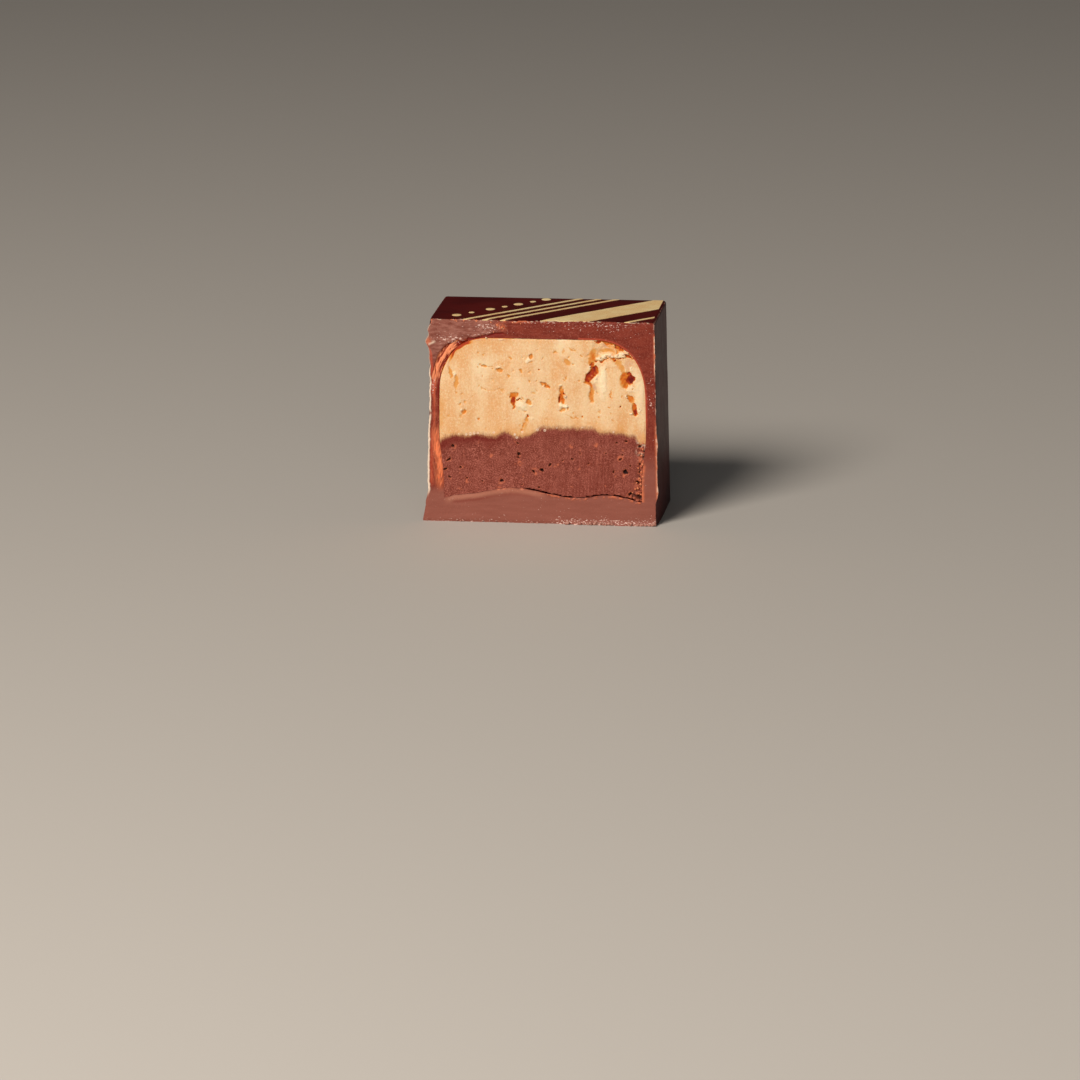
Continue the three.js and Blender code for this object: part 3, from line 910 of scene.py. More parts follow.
# the layer that closes the base
base = {
    "columns": 330,
    "rows": 40,
    "nearStations": [0.1, 0.3, 0.6],  # behind the knife, before the cavity's
    "lip": 0.28,  # how far the knife dragged the bottom edge forward
    "ridge": (0.28, 0.33),  # the ridge with a painted highlight: how far under the ganache, and how wide
    "underRidge": (0.72, 0.17),  # the painted shade below it
}


def baseMarks(x, z, outside):  # also where the ridge with its painted highlight and the grit under the ganache are
    marks = shellMarks(x, z, outside + 5, outside, z)
    top = baseLine(x)
    ridgeDown, ridgeWide = base["ridge"]
    underDown, underWide = base["underRidge"]
    ridge = bell(z, top - ridgeDown, ridgeWide) * smooth(0.9, -1.0, x) * smooth(-11.2, -10.2, x)
    under = bell(z, top - underDown, underWide) * smooth(-0.5, -1.5, x) * smooth(-10.5, -9.5, x)
    meeting = bell(z, top, 0.1) * smooth(-5.4, -4.8, x) * smooth(-1.6, -2.4, x)
    grit = bell(z, top - 0.1, 0.16) * smooth(-1, 1, x) * smooth(11.4, 11.2, x)
    grit = grit * smooth(0.0, 0.35, noise(x * 5, z * 7, 64))
    # whitish dashes along the bottom, partly painted glints
    dashes = smooth(0.7, 0.2, z) * 0.5 + 0.9 * smooth(1.3, 0.3, z) * smooth(0.5, 3, x)
    more = [
        ("rimHighlight", 0.09 * ridge),
        ("amber", 0.17 * ridge),
        ("amber", 0.6 * meeting * (0.6 + 0.8 * noise(x * 3, 0, 63))),
        ("amber", 0.55 * grit),
        ("emberAndShade", 0.22 * under * (1 + smooth(-5, -7, x))),
        ("gleam", dashes),
    ]
    for name, amount in more:
        marks[name] = np.clip(marks[name] + amount, 0, 1)
    return marks, ridge, grit


def makeBase():
    mould = Mould(cutMarks)
    cutY, foot = bonbon["cutY"], bonbon["wallFoot"]
    u = np.linspace(-1, 1, base["columns"] + 1)[:, None]
    v = np.linspace(0, 1, base["rows"] + 1)[None, :]
    z = v * baseLine(u * outerHalf(foot))
    sideways = np.sign(u) * abs(u) ** 30  # only the very ends follow the worn outline
    x = u * outerHalf(z) + sideways * pushedOut(u, cutY, z, 1.0, 0.0)
    outside = (1 - abs(u)) * bonbon["halfFoot"] + 0 * z  # as wide as the grid
    marks, ridge, grit = baseMarks(x, z, outside)
    lip = smooth(0.5, 0.05, z) * smooth(1.8, 3.4, x) * (0.55 + 0.45 * roughNoise(x * 1.6, z * 2, 61))
    worn = 0.05 * smooth(0.3, 0.0, z) * (1 + roughNoise(x * 3, z * 4, 62)) * smooth(3, 1, x)
    y = cutY + chocolateDepth(x, z, outside, marks) - base["lip"] * np.clip(lip, 0, 1)
    y = y - 0.04 * ridge - 0.08 * grit + worn
    front = mould.add(x, y, z, **marks)
    mould.skin(gridFaces(front), 1)

    # back through the cavity, where the hump follows its walls, then round the rear edge
    grids = (np.broadcast_to(a, front.shape) for a in (u, y, z, sideways, front))
    u, y0, z0, side, last = (rimOf(grid) for grid in grids)
    swollen = (z0 > foot) & (abs(u) < 0.97)
    cavityEnd = cavityStations[-1]
    stations = [(back, 0) for back in base["nearStations"] + cavityStations + [cavityEnd + 0.02]]
    stations += [(0, a) for a in np.radians([0] + bonbon["edgeTurns"])]
    edge = bonbon["edge"]
    for back, angle in stations:
        turned = back == 0
        level = np.where(swollen & (turned or back > cavityEnd), foot, z0)
        if turned:
            station = backAt(level) - edge * (1 - math.sin(angle))
        else:
            station = np.maximum(cutY + back, y0 + 0.05 * back)
        inset = edge * (1 - math.cos(angle)) if turned else 0.0
        sx = u * outerHalf(level) + side * (pushedOut(u, station, level, 1.0, 0.0) - inset)
        if not turned:
            narrow, _ = intoCavity(sx, level, cutY + back)
            sx = np.where(swollen, narrow, sx)
        ring = mould.add(sx, station, level)
        mould.skin(bandFaces(np.r_[last, last[0]], np.r_[ring, ring[0]]))
        last = ring
    mould.skin([last.tolist()])
    return mould.cast("base", [moulded, cut], "chocolate_base")


makeBase()


# the praline's tears, air holes and flakes
praline = {
    "across": 320,
    "up": 168,
    # x, z, width, height, lean, how far its painted warm shade goes from praline to dark red, depth,
    # softness of its rim
    "tears": [
        # the long tear right of the middle
        (5.72, 17.35, 0.95, 1.2, 0.35, 0.92, 0.14, 0.5), (5.3, 16.75, 0.75, 1.3, 0.35, 0.92, 0.13, 0.5),
        (5.5, 18.0, 0.6, 0.7, 0.1, 0.8, 0.12, 0.7), (5.1, 16.15, 0.8, 0.5, 0.4, 0.66, 0.15, 0.7),
        (5.42, 15.7, 0.4, 0.6, 0, 0.6, 0.12, 0.7), (5.35, 18.5, 0.7, 1.1, 0.1, 0.5, 0.05, 1.1),
        (5.5, 14.75, 0.65, 1.7, 0, 0.5, 0.14, 0.8),
        # the hole by the right wall
        (9.2, 16.6, 1.2, 1.7, 0.1, 0.66, 0.08, 1.3), (8.8, 17.9, 0.75, 1.8, -0.35, 0.38, 0.04, 1.1),
        (9.8, 16.5, 1.0, 1.3, -0.15, 0.92, 0.16, 0.4), (9.9, 16.35, 0.7, 0.9, 0, 1.0, 0.05, 0.9),
        (9.3, 15.85, 0.45, 0.6, 0, 0.66, 0.14, 0.6), (9.72, 17.15, 0.4, 0.6, 0.2, 0.84, 0.15, 0.5),
        # the slanted one below it
        (9.8, 14.25, 0.5, 1.05, -0.75, 0.58, 0.12, 0.5),
        (10.35, 13.15, 0.55, 1.4, -0.3, 0.7, 0.14, 0.5),
        (10.47, 12.95, 0.28, 0.8, -0.2, 0.85, 0.08, 0.6),
        # small ones between
        (7.6, 15.05, 0.3, 0.5, 0, 0.4, 0.06, 0.8), (7.58, 14.68, 0.14, 0.6, -0.75, 0.55, 0.08, 0.6),
        (8.7, 13.56, 0.18, 0.22, 0, 0.95, 0.15, 0.6), (6.34, 12.85, 0.4, 0.4, 0, 0.3, 0.05, 1.0),
        (7.8, 11.96, 0.3, 0.2, 0, 0.3, 0.03, 1.0),
        # the upright tear near the middle, and what lies under it
        (2.2, 14.9, 0.5, 1.3, 0.1, 0.56, 0.16, 0.6), (2.05, 14.3, 0.55, 0.9, 0, 0.66, 0.16, 0.6),
        (2.5, 14.88, 0.2, 0.3, 0, 1.0, 0.3, 0.6), (1.83, 14.05, 0.22, 0.8, 0, 0.85, 0.25, 0.6),
        (2.2, 14.05, 0.6, 0.6, 0, 0.6, 0.2, 0.7), (2.3, 12.92, 0.5, 0.35, 0, 0.5, 0.1, 0.7),
        (2.85, 13.15, 0.25, 0.5, 0, 0.5, 0.1, 0.7), (3.5, 12.12, 0.12, 1.5, 1.93, 0.4, 0.05, 0.8),
        (4.53, 12.16, 0.2, 0.2, 0, 0.6, 0.1, 0.8),
        # the dark tear left of the middle
        (-3.15, 14.5, 0.8, 0.8, 0.5, 0.62, 0.1, 0.9), (-3.15, 13.9, 0.55, 1.1, 0.1, 0.88, 0.12, 0.8),
        (-3.22, 13.3, 0.32, 1.0, 0.12, 0.66, 0.14, 0.6), (-2.54, 13.98, 0.6, 0.14, 0, 0.98, 0.15, 0.5),
        (-3.5, 14.28, 0.35, 0.3, 0, 0.6, 0.15, 0.7), (-1.45, 13.82, 0.75, 0.5, 0.3, 0.45, 0.12, 0.7),
        # its trail down to the seam
        (-1.6, 12.16, 0.35, 0.5, 0, 0.62, 0.2, 0.7), (-1.8, 11.7, 0.4, 0.55, 0, 0.46, 0.08, 1.0),
        (-2.1, 11.15, 0.36, 0.6, 0.1, 0.5, 0.08, 1.0), (-2.3, 10.65, 0.4, 0.3, 0, 0.52, 0.06, 1.0),
        (-1.9, 11.3, 0.9, 1.4, 0.1, 0.26, 0.03, 1.4), (-2.6, 11.2, 0.2, 0.3, 0, 0.3, 0.03, 1.0),
        # small ones round the middle
        (0.3, 15.78, 0.42, 1.1, 2.13, 0.58, 0.2, 0.6), (0.45, 15.62, 0.16, 0.7, 2.1, 0.78, 0.15, 0.7),
        (-1.19, 18.9, 0.62, 0.5, 0.3, 0.5, 0.15, 0.7), (-1.2, 18.26, 0.6, 0.16, 0, 0.35, 0.04, 0.8),
        (2.85, 18.35, 0.6, 1.1, 2.32, 0.38, 0.07, 0.8), (3.3, 19.8, 0.25, 1.0, 1.85, 0.32, 0.04, 1.2),
        (2.35, 19.6, 0.3, 0.6, 0, 0.26, 0.03, 1.2), (-2.3, 17.34, 0.2, 0.5, -0.6, 0.5, 0.08, 0.7),
        (-0.39, 17.38, 0.2, 0.2, 0, 0.75, 0.12, 0.6), (-1.35, 16.21, 0.3, 0.45, 0, 0.42, 0.08, 0.8),
        # small ones further left
        (-3.57, 18.1, 0.5, 0.22, 0, 0.3, 0.04, 1.0), (-3.69, 16.52, 0.4, 0.35, 0, 0.42, 0.08, 0.8),
        (-4.45, 15.06, 0.45, 0.2, 0, 0.3, 0.04, 1.0), (-6.38, 17.72, 0.75, 0.38, 0, 0.55, 0.14, 0.7),
        (-5.7, 17.68, 0.7, 0.16, 0, 0.35, 0.05, 0.8), (-4.8, 17.3, 0.65, 0.42, 0, 0.55, 0.14, 0.7),
        (-6.4, 15.2, 0.14, 0.75, 2.13, 0.35, 0.05, 0.8), (-5.6, 14.98, 0.9, 0.13, 0, 0.35, 0.05, 0.8),
        (-4.7, 15.1, 0.9, 0.13, -0.2, 0.3, 0.05, 0.8),
        # by the left wall
        (-10.2, 17.0, 0.3, 1.3, -0.12, 0.44, 0.06, 0.8), (-9.5, 15.8, 0.55, 1.7, 0, 0.36, 0.06, 0.6),
        (-8.7, 12.55, 0.38, 0.65, 0.35, 0.5, 0.12, 0.7), (-9.05, 12.15, 0.2, 0.6, 0.8, 0.4, 0.06, 0.8),
        (-10.41, 12.03, 0.3, 0.4, 0, 0.3, 0.03, 1.0), (-6.26, 10.66, 0.25, 0.3, 0, 0.35, 0.04, 1.0),
        # round the flakes
        (7.2, 20.62, 0.6, 1.7, 1.84, 0.72, 0.14, 0.5), (8.5, 20.05, 1.1, 0.6, 0.5, 0.8, 0.18, 0.5),
        (8.42, 19.7, 0.25, 0.6, 0, 0.5, 0.12, 0.7), (7.86, 18.92, 0.45, 0.35, 0, 0.58, 0.15, 0.6),
        (8.1, 18.76, 0.34, 0.16, 0, 0.97, 0.2, 0.6), (8.8, 18.93, 1.4, 0.12, 0, 0.85, 0.14, 0.6),
        (9.6, 19.13, 0.6, 0.38, 0.3, 0.88, 0.22, 0.5), (10.2, 18.85, 0.1, 1.1, 1.93, 0.7, 0.15, 0.7),
        (6.45, 18.57, 0.35, 0.22, 0, 0.9, 0.15, 0.6), (6.95, 18.68, 0.9, 0.12, 0, 0.72, 0.1, 0.6),
        (7.2, 19.66, 1.9, 0.46, 0, 0.34, 0.06, 1.0), (7.6, 20.05, 1.0, 0.3, 0.2, 0.42, 0.06, 1.0),
        (8.4, 18.45, 0.6, 0.8, 0, 0.34, 0.03, 1.0), (5.7, 19.2, 0.9, 2.0, 0.1, 0.56, 0.06, 1.2),
        (5.96, 18.5, 0.4, 0.26, 0, 0.85, 0.15, 0.7), (6.15, 20.72, 0.26, 0.9, 2.05, 0.86, 0.12, 0.6),
        (6.3, 19.9, 1.0, 0.5, 0.5, 0.2, 0.04, 1.2),
    ],
    "faintMarks": 64,
    "faintSeed": 11,
    # x, z, width, height, lean, strength: whitish crumbs and worn places, then greyish pink ones
    "pale": [
        (6.0, 16.5, 0.42, 0.75, 0, 0.7), (6.5, 16.2, 0.55, 1.9, -0.1, 0.45),
        (6.75, 14.7, 0.45, 1.3, 0, 0.45), (6.85, 16.4, 0.7, 3.4, 0.05, 0.85),
        (7.6, 18.2, 1.2, 0.6, 0, 0.35), (10.35, 17.3, 0.7, 1.9, -0.15, 0.5),
        (10.0, 15.35, 1.3, 0.6, 0, 0.5), (9.95, 17.8, 0.3, 0.6, -0.2, 0.8),
        (9.4, 14.6, 0.3, 0.25, 0, 0.9), (9.9, 12.75, 0.4, 0.22, 0, 0.9),
        (10.85, 13.2, 0.3, 0.6, 0, 0.7), (2.42, 13.48, 0.95, 0.5, 0.2, 1.0),
        (-2.33, 13.35, 1.0, 0.85, 0.3, 0.85), (-1.2, 13.4, 0.5, 0.3, 0, 0.6),
        (-1.5, 18.5, 0.6, 0.5, 0, 0.8), (-9.73, 16.9, 0.4, 0.6, 0, 0.7),
        (-4.84, 17.6, 0.6, 0.2, 0, 0.7), (6.62, 19.0, 1.1, 0.34, -0.25, 0.95),
        (7.5, 19.16, 1.0, 0.28, 0, 0.8), (8.75, 19.3, 1.35, 0.5, -0.1, 1.0),
        (9.3, 19.98, 0.34, 1.2, 2.2, 0.75), (10.05, 19.3, 0.36, 1.3, 2.4, 0.75),
        (8.05, 20.38, 0.3, 0.45, 0, 0.8), (10.8, 15.2, 0.9, 5.0, 0.08, 0.4),
        (-8.95, 12.75, 0.3, 0.3, 0, 0.6), (5.3, 17.95, 0.35, 0.35, 0, 0.7),
        (-1.1, 11.9, 0.3, 0.3, 0, 0.5), (9.35, 17.4, 0.2, 0.5, 0, 0.6), (2.0, 15.75, 0.35, 0.3, 0, 0.6),
        (-6.2, 20.98, 0.28, 0.26, 0, 0.6), (-4.4, 20.9, 0.7, 0.3, 0, 0.5),
    ],
    "ashen": [
        (7.3, 20.1, 1.3, 0.42, 0.25, 0.6), (5.85, 15.6, 0.5, 0.7, 0, 0.6),
        (2.68, 14.5, 0.4, 0.42, 0, 0.8), (9.6, 18.2, 0.7, 1.2, 0, 0.4),
        (-10.5, 17.9, 0.5, 1.0, 0.3, 0.3), (10.65, 16.4, 0.25, 0.25, 0, 0.6),
    ],
    "recess": 0.1,  # depth of the rough place above the flakes
    "flake": 0.11,  # how far whitish crumbs stand out
}


def faintMarks():  # fine marks all over the praline
    random = np.random.default_rng(praline["faintSeed"])
    made = []
    for _ in range(praline["faintMarks"]):
        x, z = random.uniform((-9.6, 11.5), (10.2, 19.7))
        wide, high, lean = random.uniform((0.12, 0.12, -0.9), (0.34, 0.4, 0.9))
        warmShadeReach, deep = random.uniform((0.22, 0.02), (0.46, 0.09))
        made.append((x, z, wide, high, lean, warmShadeReach, deep, 0.9))
    return made


def tears(x, z):  # depth and painted warm shade of the torn places, then whitish and greyish crumbs
    wx, wz = drifted(x, z, 71)
    depth, warmthAndShade, pale, ashen = (np.zeros_like(x) for _ in range(4))
    mottled = 0.9 + 0.2 * noise(x * 2.1, z * 1.7, 77) + 0.14 * noise(x * 6, z * 5, 78)
    for *spot, warmShadeReach, deep, soft in praline["tears"] + faintMarks():
        inside = oval(wx, wz, spot, soft if warmShadeReach < 0.6 else 0.6 * soft)
        warmthAndShade = np.maximum(warmthAndShade, warmShadeReach * inside * mottled)
        depth = np.maximum(depth, deep * inside) + 0.4 * deep * inside * (depth > deep)
    for *spot, strength in praline["pale"]:
        pale = np.maximum(pale, strength * oval(wx, wz, spot, 0.8))
    for *spot, strength in praline["ashen"]:
        ashen = np.maximum(ashen, strength * oval(wx, wz, spot, 1.0))
    pale = pale * (0.75 + 0.5 * np.clip(roughNoise(x * 3, z * 3, 76) + 0.2, 0, 1))
    return depth, warmthAndShade, np.clip(pale, 0, 1) * (1 - smooth(0.3, 0.6, warmthAndShade)), ashen


seamSpecks = [  # whitish bubbles and crumbs along the seam: x, z, size
    (-7.6, 10.12, 0.3), (-8.05, 10.02, 0.34), (-7.2, 10.15, 0.24), (-8.5, 9.95, 0.24),
    (-5.41, 10.28, 0.24), (-2.85, 9.75, 0.26), (-3.07, 10.08, 0.24), (-2.22, 10.37, 0.24),
    (-0.55, 10.67, 0.26), (0.27, 10.61, 0.26), (-9.3, 10.0, 0.16), (1.6, 10.95, 0.16),
    (4.4, 11.05, 0.16), (7.9, 10.6, 0.2),
]


def specksAt(x, z):
    speck = np.zeros_like(x)
    for sx, sz, size in seamSpecks:
        core = oval(x, z, (sx, sz, 0.4 * size, 0.4 * size, 0), 0.8)
        ring = oval(x, z, (sx, sz, size, size, 0), 0.8) - core
        speck = np.maximum(speck, ring)
    return np.clip(speck * (0.95 + 0.5 * noise(x * 7, z * 7, 79)), 0, 1)


ganache = {
    "across": 320,
    "up": 96,
    "pits": [  # air holes: x, z, size
        (-9.98, 8.56, 0.26), (-10.51, 7.11, 0.28), (-10.9, 5.97, 0.24), (-10.4, 4.94, 0.18),
        (-2.8, 9.25, 0.2), (-2.55, 7.76, 0.26), (-2.62, 7.36, 0.2), (-0.14, 6.12, 0.3),
        (-0.97, 5.9, 0.28), (-4.57, 4.63, 0.32), (-8.51, 5.0, 0.2), (-9.18, 6.3, 0.18),
        (-6.69, 4.51, 0.14), (-5.81, 8.59, 0.12), (-2.26, 4.4, 0.16), (-0.47, 4.21, 0.16),
        (0.83, 6.66, 0.2), (9.25, 9.5, 0.26), (8.1, 9.25, 0.16), (2.22, 7.09, 0.18), (3.31, 7.31, 0.16),
        (4.21, 8.05, 0.14), (7.01, 8.12, 0.16), (8.6, 7.51, 0.18), (8.92, 7.97, 0.14),
        (9.24, 6.0, 0.34), (9.68, 6.88, 0.16), (5.22, 6.77, 0.16), (7.9, 6.06, 0.14),
        (10.75, 8.9, 0.24), (10.85, 7.9, 0.22), (10.75, 7.0, 0.24), (10.95, 6.0, 0.26),
        (10.5, 5.0, 0.26), (10.9, 4.6, 0.2),
    ],
    # torn places in the lower right corner: x, z, width, height, lean, strength of the rim, depth
    "cornerTears": [
        (10.6, 3.15, 0.9, 0.4, 0.1, 0.6, 0.24), (10.15, 3.3, 0.6, 0.34, 0.5, 0.7, 0.2),
        (9.7, 3.5, 0.55, 0.42, 0.6, 0.8, 0.34), (10.95, 2.95, 0.4, 0.2, 0, 0.4, 0.2),
    ],
    "crumbs": [  # lighter places round some of the air holes: x, z, size
        (-0.8, 6.0, 0.7), (-9.1, 6.1, 0.6), (-8.3, 4.7, 0.7), (-2.5, 6.9, 0.5), (9.2, 5.8, 0.7),
        (6.2, 8.9, 0.7), (4.0, 8.3, 0.4), (8.6, 7.6, 0.5), (-5.6, 7.5, 0.5), (-4.8, 4.1, 0.5),
        (-2.8, 9.3, 0.4), (1.5, 6.6, 0.4), (9.3, 9.3, 0.4), (-9.9, 8.2, 0.3), (3.2, 8.9, 0.4),
        (-6.9, 9.3, 0.4),
    ],
    "crack": 0.16,  # widest gap over the base
    "comb": (16.5, 0.012),  # the knife's fine lines: radians per mm, and depth
}


def pitted(x, z):  # depth of the ganache's air holes, how far a point is in one, and on its rim
    wx, wz = drifted(x, z, 72)
    depth, core, halo = (np.zeros_like(x) for _ in range(3))
    hollows = [(px, pz, 1.3 * w, 1.15 * w, 0.3, 0.9, 0.5 * w + 0.15) for px, pz, w in ganache["pits"]]
    for *spot, ring, deep in hollows + ganache["cornerTears"]:
        wider = (*spot[:2], spot[2] * 1.5, spot[3] * 1.5, spot[4])
        depth = np.maximum(depth, deep * oval(wx, wz, spot, 0.8))
        core = np.maximum(core, oval(wx, wz, spot, 0.5) * min(1, deep / 0.3))
        halo = np.maximum(halo, ring * oval(wx, wz, wider, 0.7))
    rough = smooth(-0.1, 0.5, noise(x * 4, z * 4, 73))
    for cx, cz, size in ganache["crumbs"]:
        halo = np.maximum(halo, 0.95 * rough * oval(wx, wz, (cx, cz, 1.15 * size, 1.15 * size, 0), 1.0))
    return depth, core, halo * (1 - core)


def crackWidth(x, z):  # gap between a filling and the chocolate round it
    topRight = 0.1 * smooth(5.4, 6.4, x) * smooth(18.6, 19.6, z) * (0.6 + 0.7 * noise(x * 2.6, z * 2.6, 81))
    crumbly = 0.1 * (x > 9) * smooth(9.0, 8.2, z) * (0.4 + 0.9 * noise(x * 3, z * 4.1, 83))
    return 0.004 + np.maximum(0, topRight) + np.maximum(0, crumbly)


def drawnIn(points, side):  # a border moved by the crack's width; side is 1 where its right is inwards
    run = np.gradient(points, axis=0)
    run /= np.linalg.norm(run, axis=1)[:, None]
    inwards = np.stack([run[:, 1], -run[:, 0]], -1) * side
    return points + inwards * crackWidth(points[:, 0], points[:, 1])[:, None]


def seamEnd(side, line):  # where a layer's line meets the wall, found in rounds
    x = side * float(innerHalf(bonbon["wallFoot"]))
    for _ in range(30):
        x = side * (float(innerHalf(line(x))) - 0.012)
    return x


def wallToWall(line, count, gap=None):  # a layer's line in equal steps, raised by a gap
    ends = [seamEnd(side, line) for side in (-1, 1)]
    xs = np.linspace(ends[0], ends[1], 900)
    zs = line(xs) + gap(xs) if gap else line(xs)
    return spaced(np.stack([xs, zs], -1), count)


def makeFilling(name, grid, marksAt, finish, node):
    x, z = grid[..., 0], grid[..., 1]
    depth, marks = marksAt(x, z)
    mould = Mould(tuple(marks))
    cutY = bonbon["cutY"]
    y = cutY + depth
    front = mould.add(x, y, z, **marks)
    mould.skin(gridFaces(front))
    rimX, rimY, rimZ, last = (rimOf(a) for a in (x, y, z, front))
    end = cutY + cavityStations[-1] - 0.05
    for back in cavityStations:
        station = np.minimum(np.maximum(cutY + back, rimY + 0.12), end)
        sx, sz = intoCavity(rimX, rimZ, cutY + back)
        ring = mould.add(sx, station, sz)
        mould.skin(bandFaces(np.r_[last, last[0]], np.r_[ring, ring[0]]))
        last = ring
    middle = mould.add(0.0, end, float(np.mean(sz)))
    mould.skin(fanFaces(last, middle))
    return mould.cast(name, [finish], node)


def pralineGrid():
    bottom = wallToWall(layerLine, praline["across"])
    roof = np.r_[cavityCorner(-1, 45, 90), cavityCorner(1, 90, 45)]
    top = drawnIn(spaced(roof, praline["across"]), 1)
    sides = []
    for side, end in ((-1, 0), (1, -1)):
        wall = wallPoints(side, bottom[end, 1], cavity["springing"], innerHalf)[:-1]
        line = drawnIn(spaced(np.r_[wall, cavityCorner(side, 0, 45)], praline["up"]), -side)
        line[0] = bottom[end]
        top[end] = line[-1]
        sides.append(line)
    return coonsPatch(bottom, top, *sides)


def pralineMarks(x, z):  # the depth behind the knife's plane, and the marks
    torn, warmthAndShade, pale, ashen = tears(x, z)
    overSeam = z - layerLine(x)
    away = smooth(0.0, 0.8, overSeam)
    edge = -fromCavity(x, z)
    depth = dragWaves(x, z) + fillingStreaks(x, z) + torn * smooth(0.0, 0.3, overSeam)

    # the rough place above the flakes, the flakes' own thickness, and the worn edge
    flaking = smooth(5.4, 6.2, x) * smooth(10.4, 9.8, x)
    recess = flaking * smooth(0.0, 0.2, z - flakeLine(x) - 0.25)
    lumps = roughNoise(x * 2.2, z * 2.2, 85)
    flake = praline["flake"] * pale * (1 + 0.4 * roughNoise(x * 3, z * 3, 86))
    depth = depth + recess * (praline["recess"] - 0.1 * lumps) - flake
    worn = smooth(0.22, 0.0, edge) * (0.04 + 0.1 * np.clip(lumps, 0, 1))
    depth = depth + worn * away + 0.01 * roughNoise(x * 7, z * 4, 87)

    # greyish pink by the wall at the lower right, and under the roof on the left
    wall = smooth(10.2, 11.0, x) * smooth(11.5, 9.6, z) * (0.5 + 0.5 * noise(x * 4, z * 3, 89))
    roof = smooth(-8, -7, x) * smooth(-3, -4, x) * smooth(0.3, 0.05, edge + 0.1 * noise(x * 1.6, 0, 90))
    ashen = np.maximum(np.maximum(ashen, wall), 0.7 * roof)

    # painted shade along the crack under the torn strip and round the cavity, and a blush near the walls
    # and the seam
    underArc = smooth(-10.6, -9.8, x) * smooth(-7.4, -8.2, x)
    underArc = underArc * smooth(0.42, 0.22, edge + 0.12 * noise(x * 2, z * 2, 88))
    warmthAndShade = np.maximum(warmthAndShade, 0.76 * underArc * (z > 17))
    left = (x < -3) * smooth(0.12, 0.02, edge) * (0.12 * smooth(11.5, 13, z) + 0.66 * smooth(16.5, 18, z))
    right = 0.24 * (x > 0) * smooth(0.1, 0.0, edge) * smooth(11.5, 13, z)
    warmthAndShade = np.maximum(warmthAndShade, left + right)
    mild = 0.7 + 0.5 * noise(x * 0.8, z * 0.6, 97)
    near = np.maximum((x < 0) * smooth(1.7, 0.3, edge), smooth(2.3, 0.7, overSeam))
    warmthAndShade = np.maximum(warmthAndShade, 0.17 * mild * near)

    # a pale haze over the middle
    haze = smooth(-0.1, 0.5, roughNoise(x * 0.45, z * 0.4, 98)) * smooth(11.5, 14, z) * smooth(7.0, 3.0, x)
    pale = np.maximum(pale, 0.3 * haze * smooth(0.25, 0.1, warmthAndShade))
    marks = {"overSeam": overSeam, "warmthAndShade": warmthAndShade, "pale": pale, "ashen": ashen, "speck": specksAt(x, z)}
    return depth, marks


makeFilling("praline", pralineGrid(), pralineMarks, pralineFinish(), "blond_praline")


def crackOverBase(x):  # where the ganache has come away from the closing layer
    uneven = 0.45 + 0.6 * noise(x * 1.7, 0, 84) + 0.55 * noise(x * 5, 0, 82)
    crack = ganache["crack"] * smooth(-2.2, -1.0, x) * smooth(11.0, 10.4, x) * uneven
    return 0.01 + np.maximum(0, crack)


def ganacheGrid():
    top = wallToWall(layerLine, ganache["across"])
    bottom = wallToWall(baseLine, ganache["across"], crackOverBase)
    sides = []
    for side, end in ((-1, 0), (1, -1)):
        wall = wallPoints(side, bottom[end, 1], top[end, 1], innerHalf)
        line = drawnIn(spaced(wall, ganache["up"]), -side)
        line[0], line[-1] = bottom[end], top[end]
        sides.append(line)
    return coonsPatch(bottom, top, *sides)


def ganacheMarks(x, z):  # the depth behind the knife's plane, and the marks
    overSeam = z - layerLine(x)
    away = smooth(0.0, -0.8, overSeam)
    sunk, core, halo = pitted(x, z)
    depth = dragWaves(x, z) + fillingStreaks(x, z) + sunk * smooth(0.0, -0.3, overSeam)

    # the knife's fine upright lines, clearest on the right
    waves, lineDepth = ganache["comb"]
    striae = (0.35 + 0.65 * smooth(-1, 3, x)) * away
    combed = np.sin(waves * (x - 0.07 * z) + 1.8 * noise(x * 0.9, z * 0.15, 70))
    combed = combed * bell(x, 5.7, 2.8) * smooth(9.4, 7.8, z)
    depth = depth + lineDepth * combed * away
    depth = depth + 0.01 * noise(x * 4.1, z * 0.2, 91) * striae + 0.02 * roughNoise(x * 5, z * 5, 92) * away

    # the crumbly edge on the right, and the edges along the wall and the base
    crumbly = smooth(9.8 + 0.7 * smooth(3.6, 7, z), 10.9, x) * away
    lumps = roughNoise(x * 4, z * 4, 93)
    depth = depth + crumbly * (0.12 + 0.22 * np.clip(lumps, -0.4, 1))
    edge = innerHalf(z) - abs(x)
    lowEdge = smooth(0.2, 0.0, z - baseLine(x) - 0.05) * (x > -2)
    depth = depth + 0.06 * (x > 0) * smooth(0.2, 0.0, edge) * away
    depth = depth + 0.1 * lowEdge * smooth(-0.4, 0.2, noise(x * 3, 0, 80))
    halo = np.maximum(halo, 0.9 * crumbly * smooth(0.3, -0.2, lumps))
    # painted shade in the air holes and in the deeper places of the crumbly edge
    pitShade = np.maximum(core, 0.75 * crumbly * smooth(0.25, 0.6, lumps))

    # dark red near the seam, painted shade in the fine lines, whitish crumbs up the right wall
    nearSeam = smooth(-1.5, -0.5, overSeam + 0.3 * noise(x * 1.3, z * 1.3, 94))
    emberAndShade = nearSeam * (0.26 + 0.5 * smooth(-3.6, -5.2, x))
    emberAndShade = np.maximum(emberAndShade, 0.32 * away * smooth(0.3, 1.0, combed))
    trail = smooth(10.1, 10.9, x) * smooth(6.8, 8.6, z) * smooth(-0.1, 0.5, noise(x * 5, z * 5, 99))
    speck = np.maximum(specksAt(x, z), 0.5 * trail)
    marks = {"overSeam": overSeam, "pitShade": pitShade, "halo": halo, "striae": striae}
    marks.update({"emberAndShade": emberAndShade, "speck": speck})
    return depth, marks


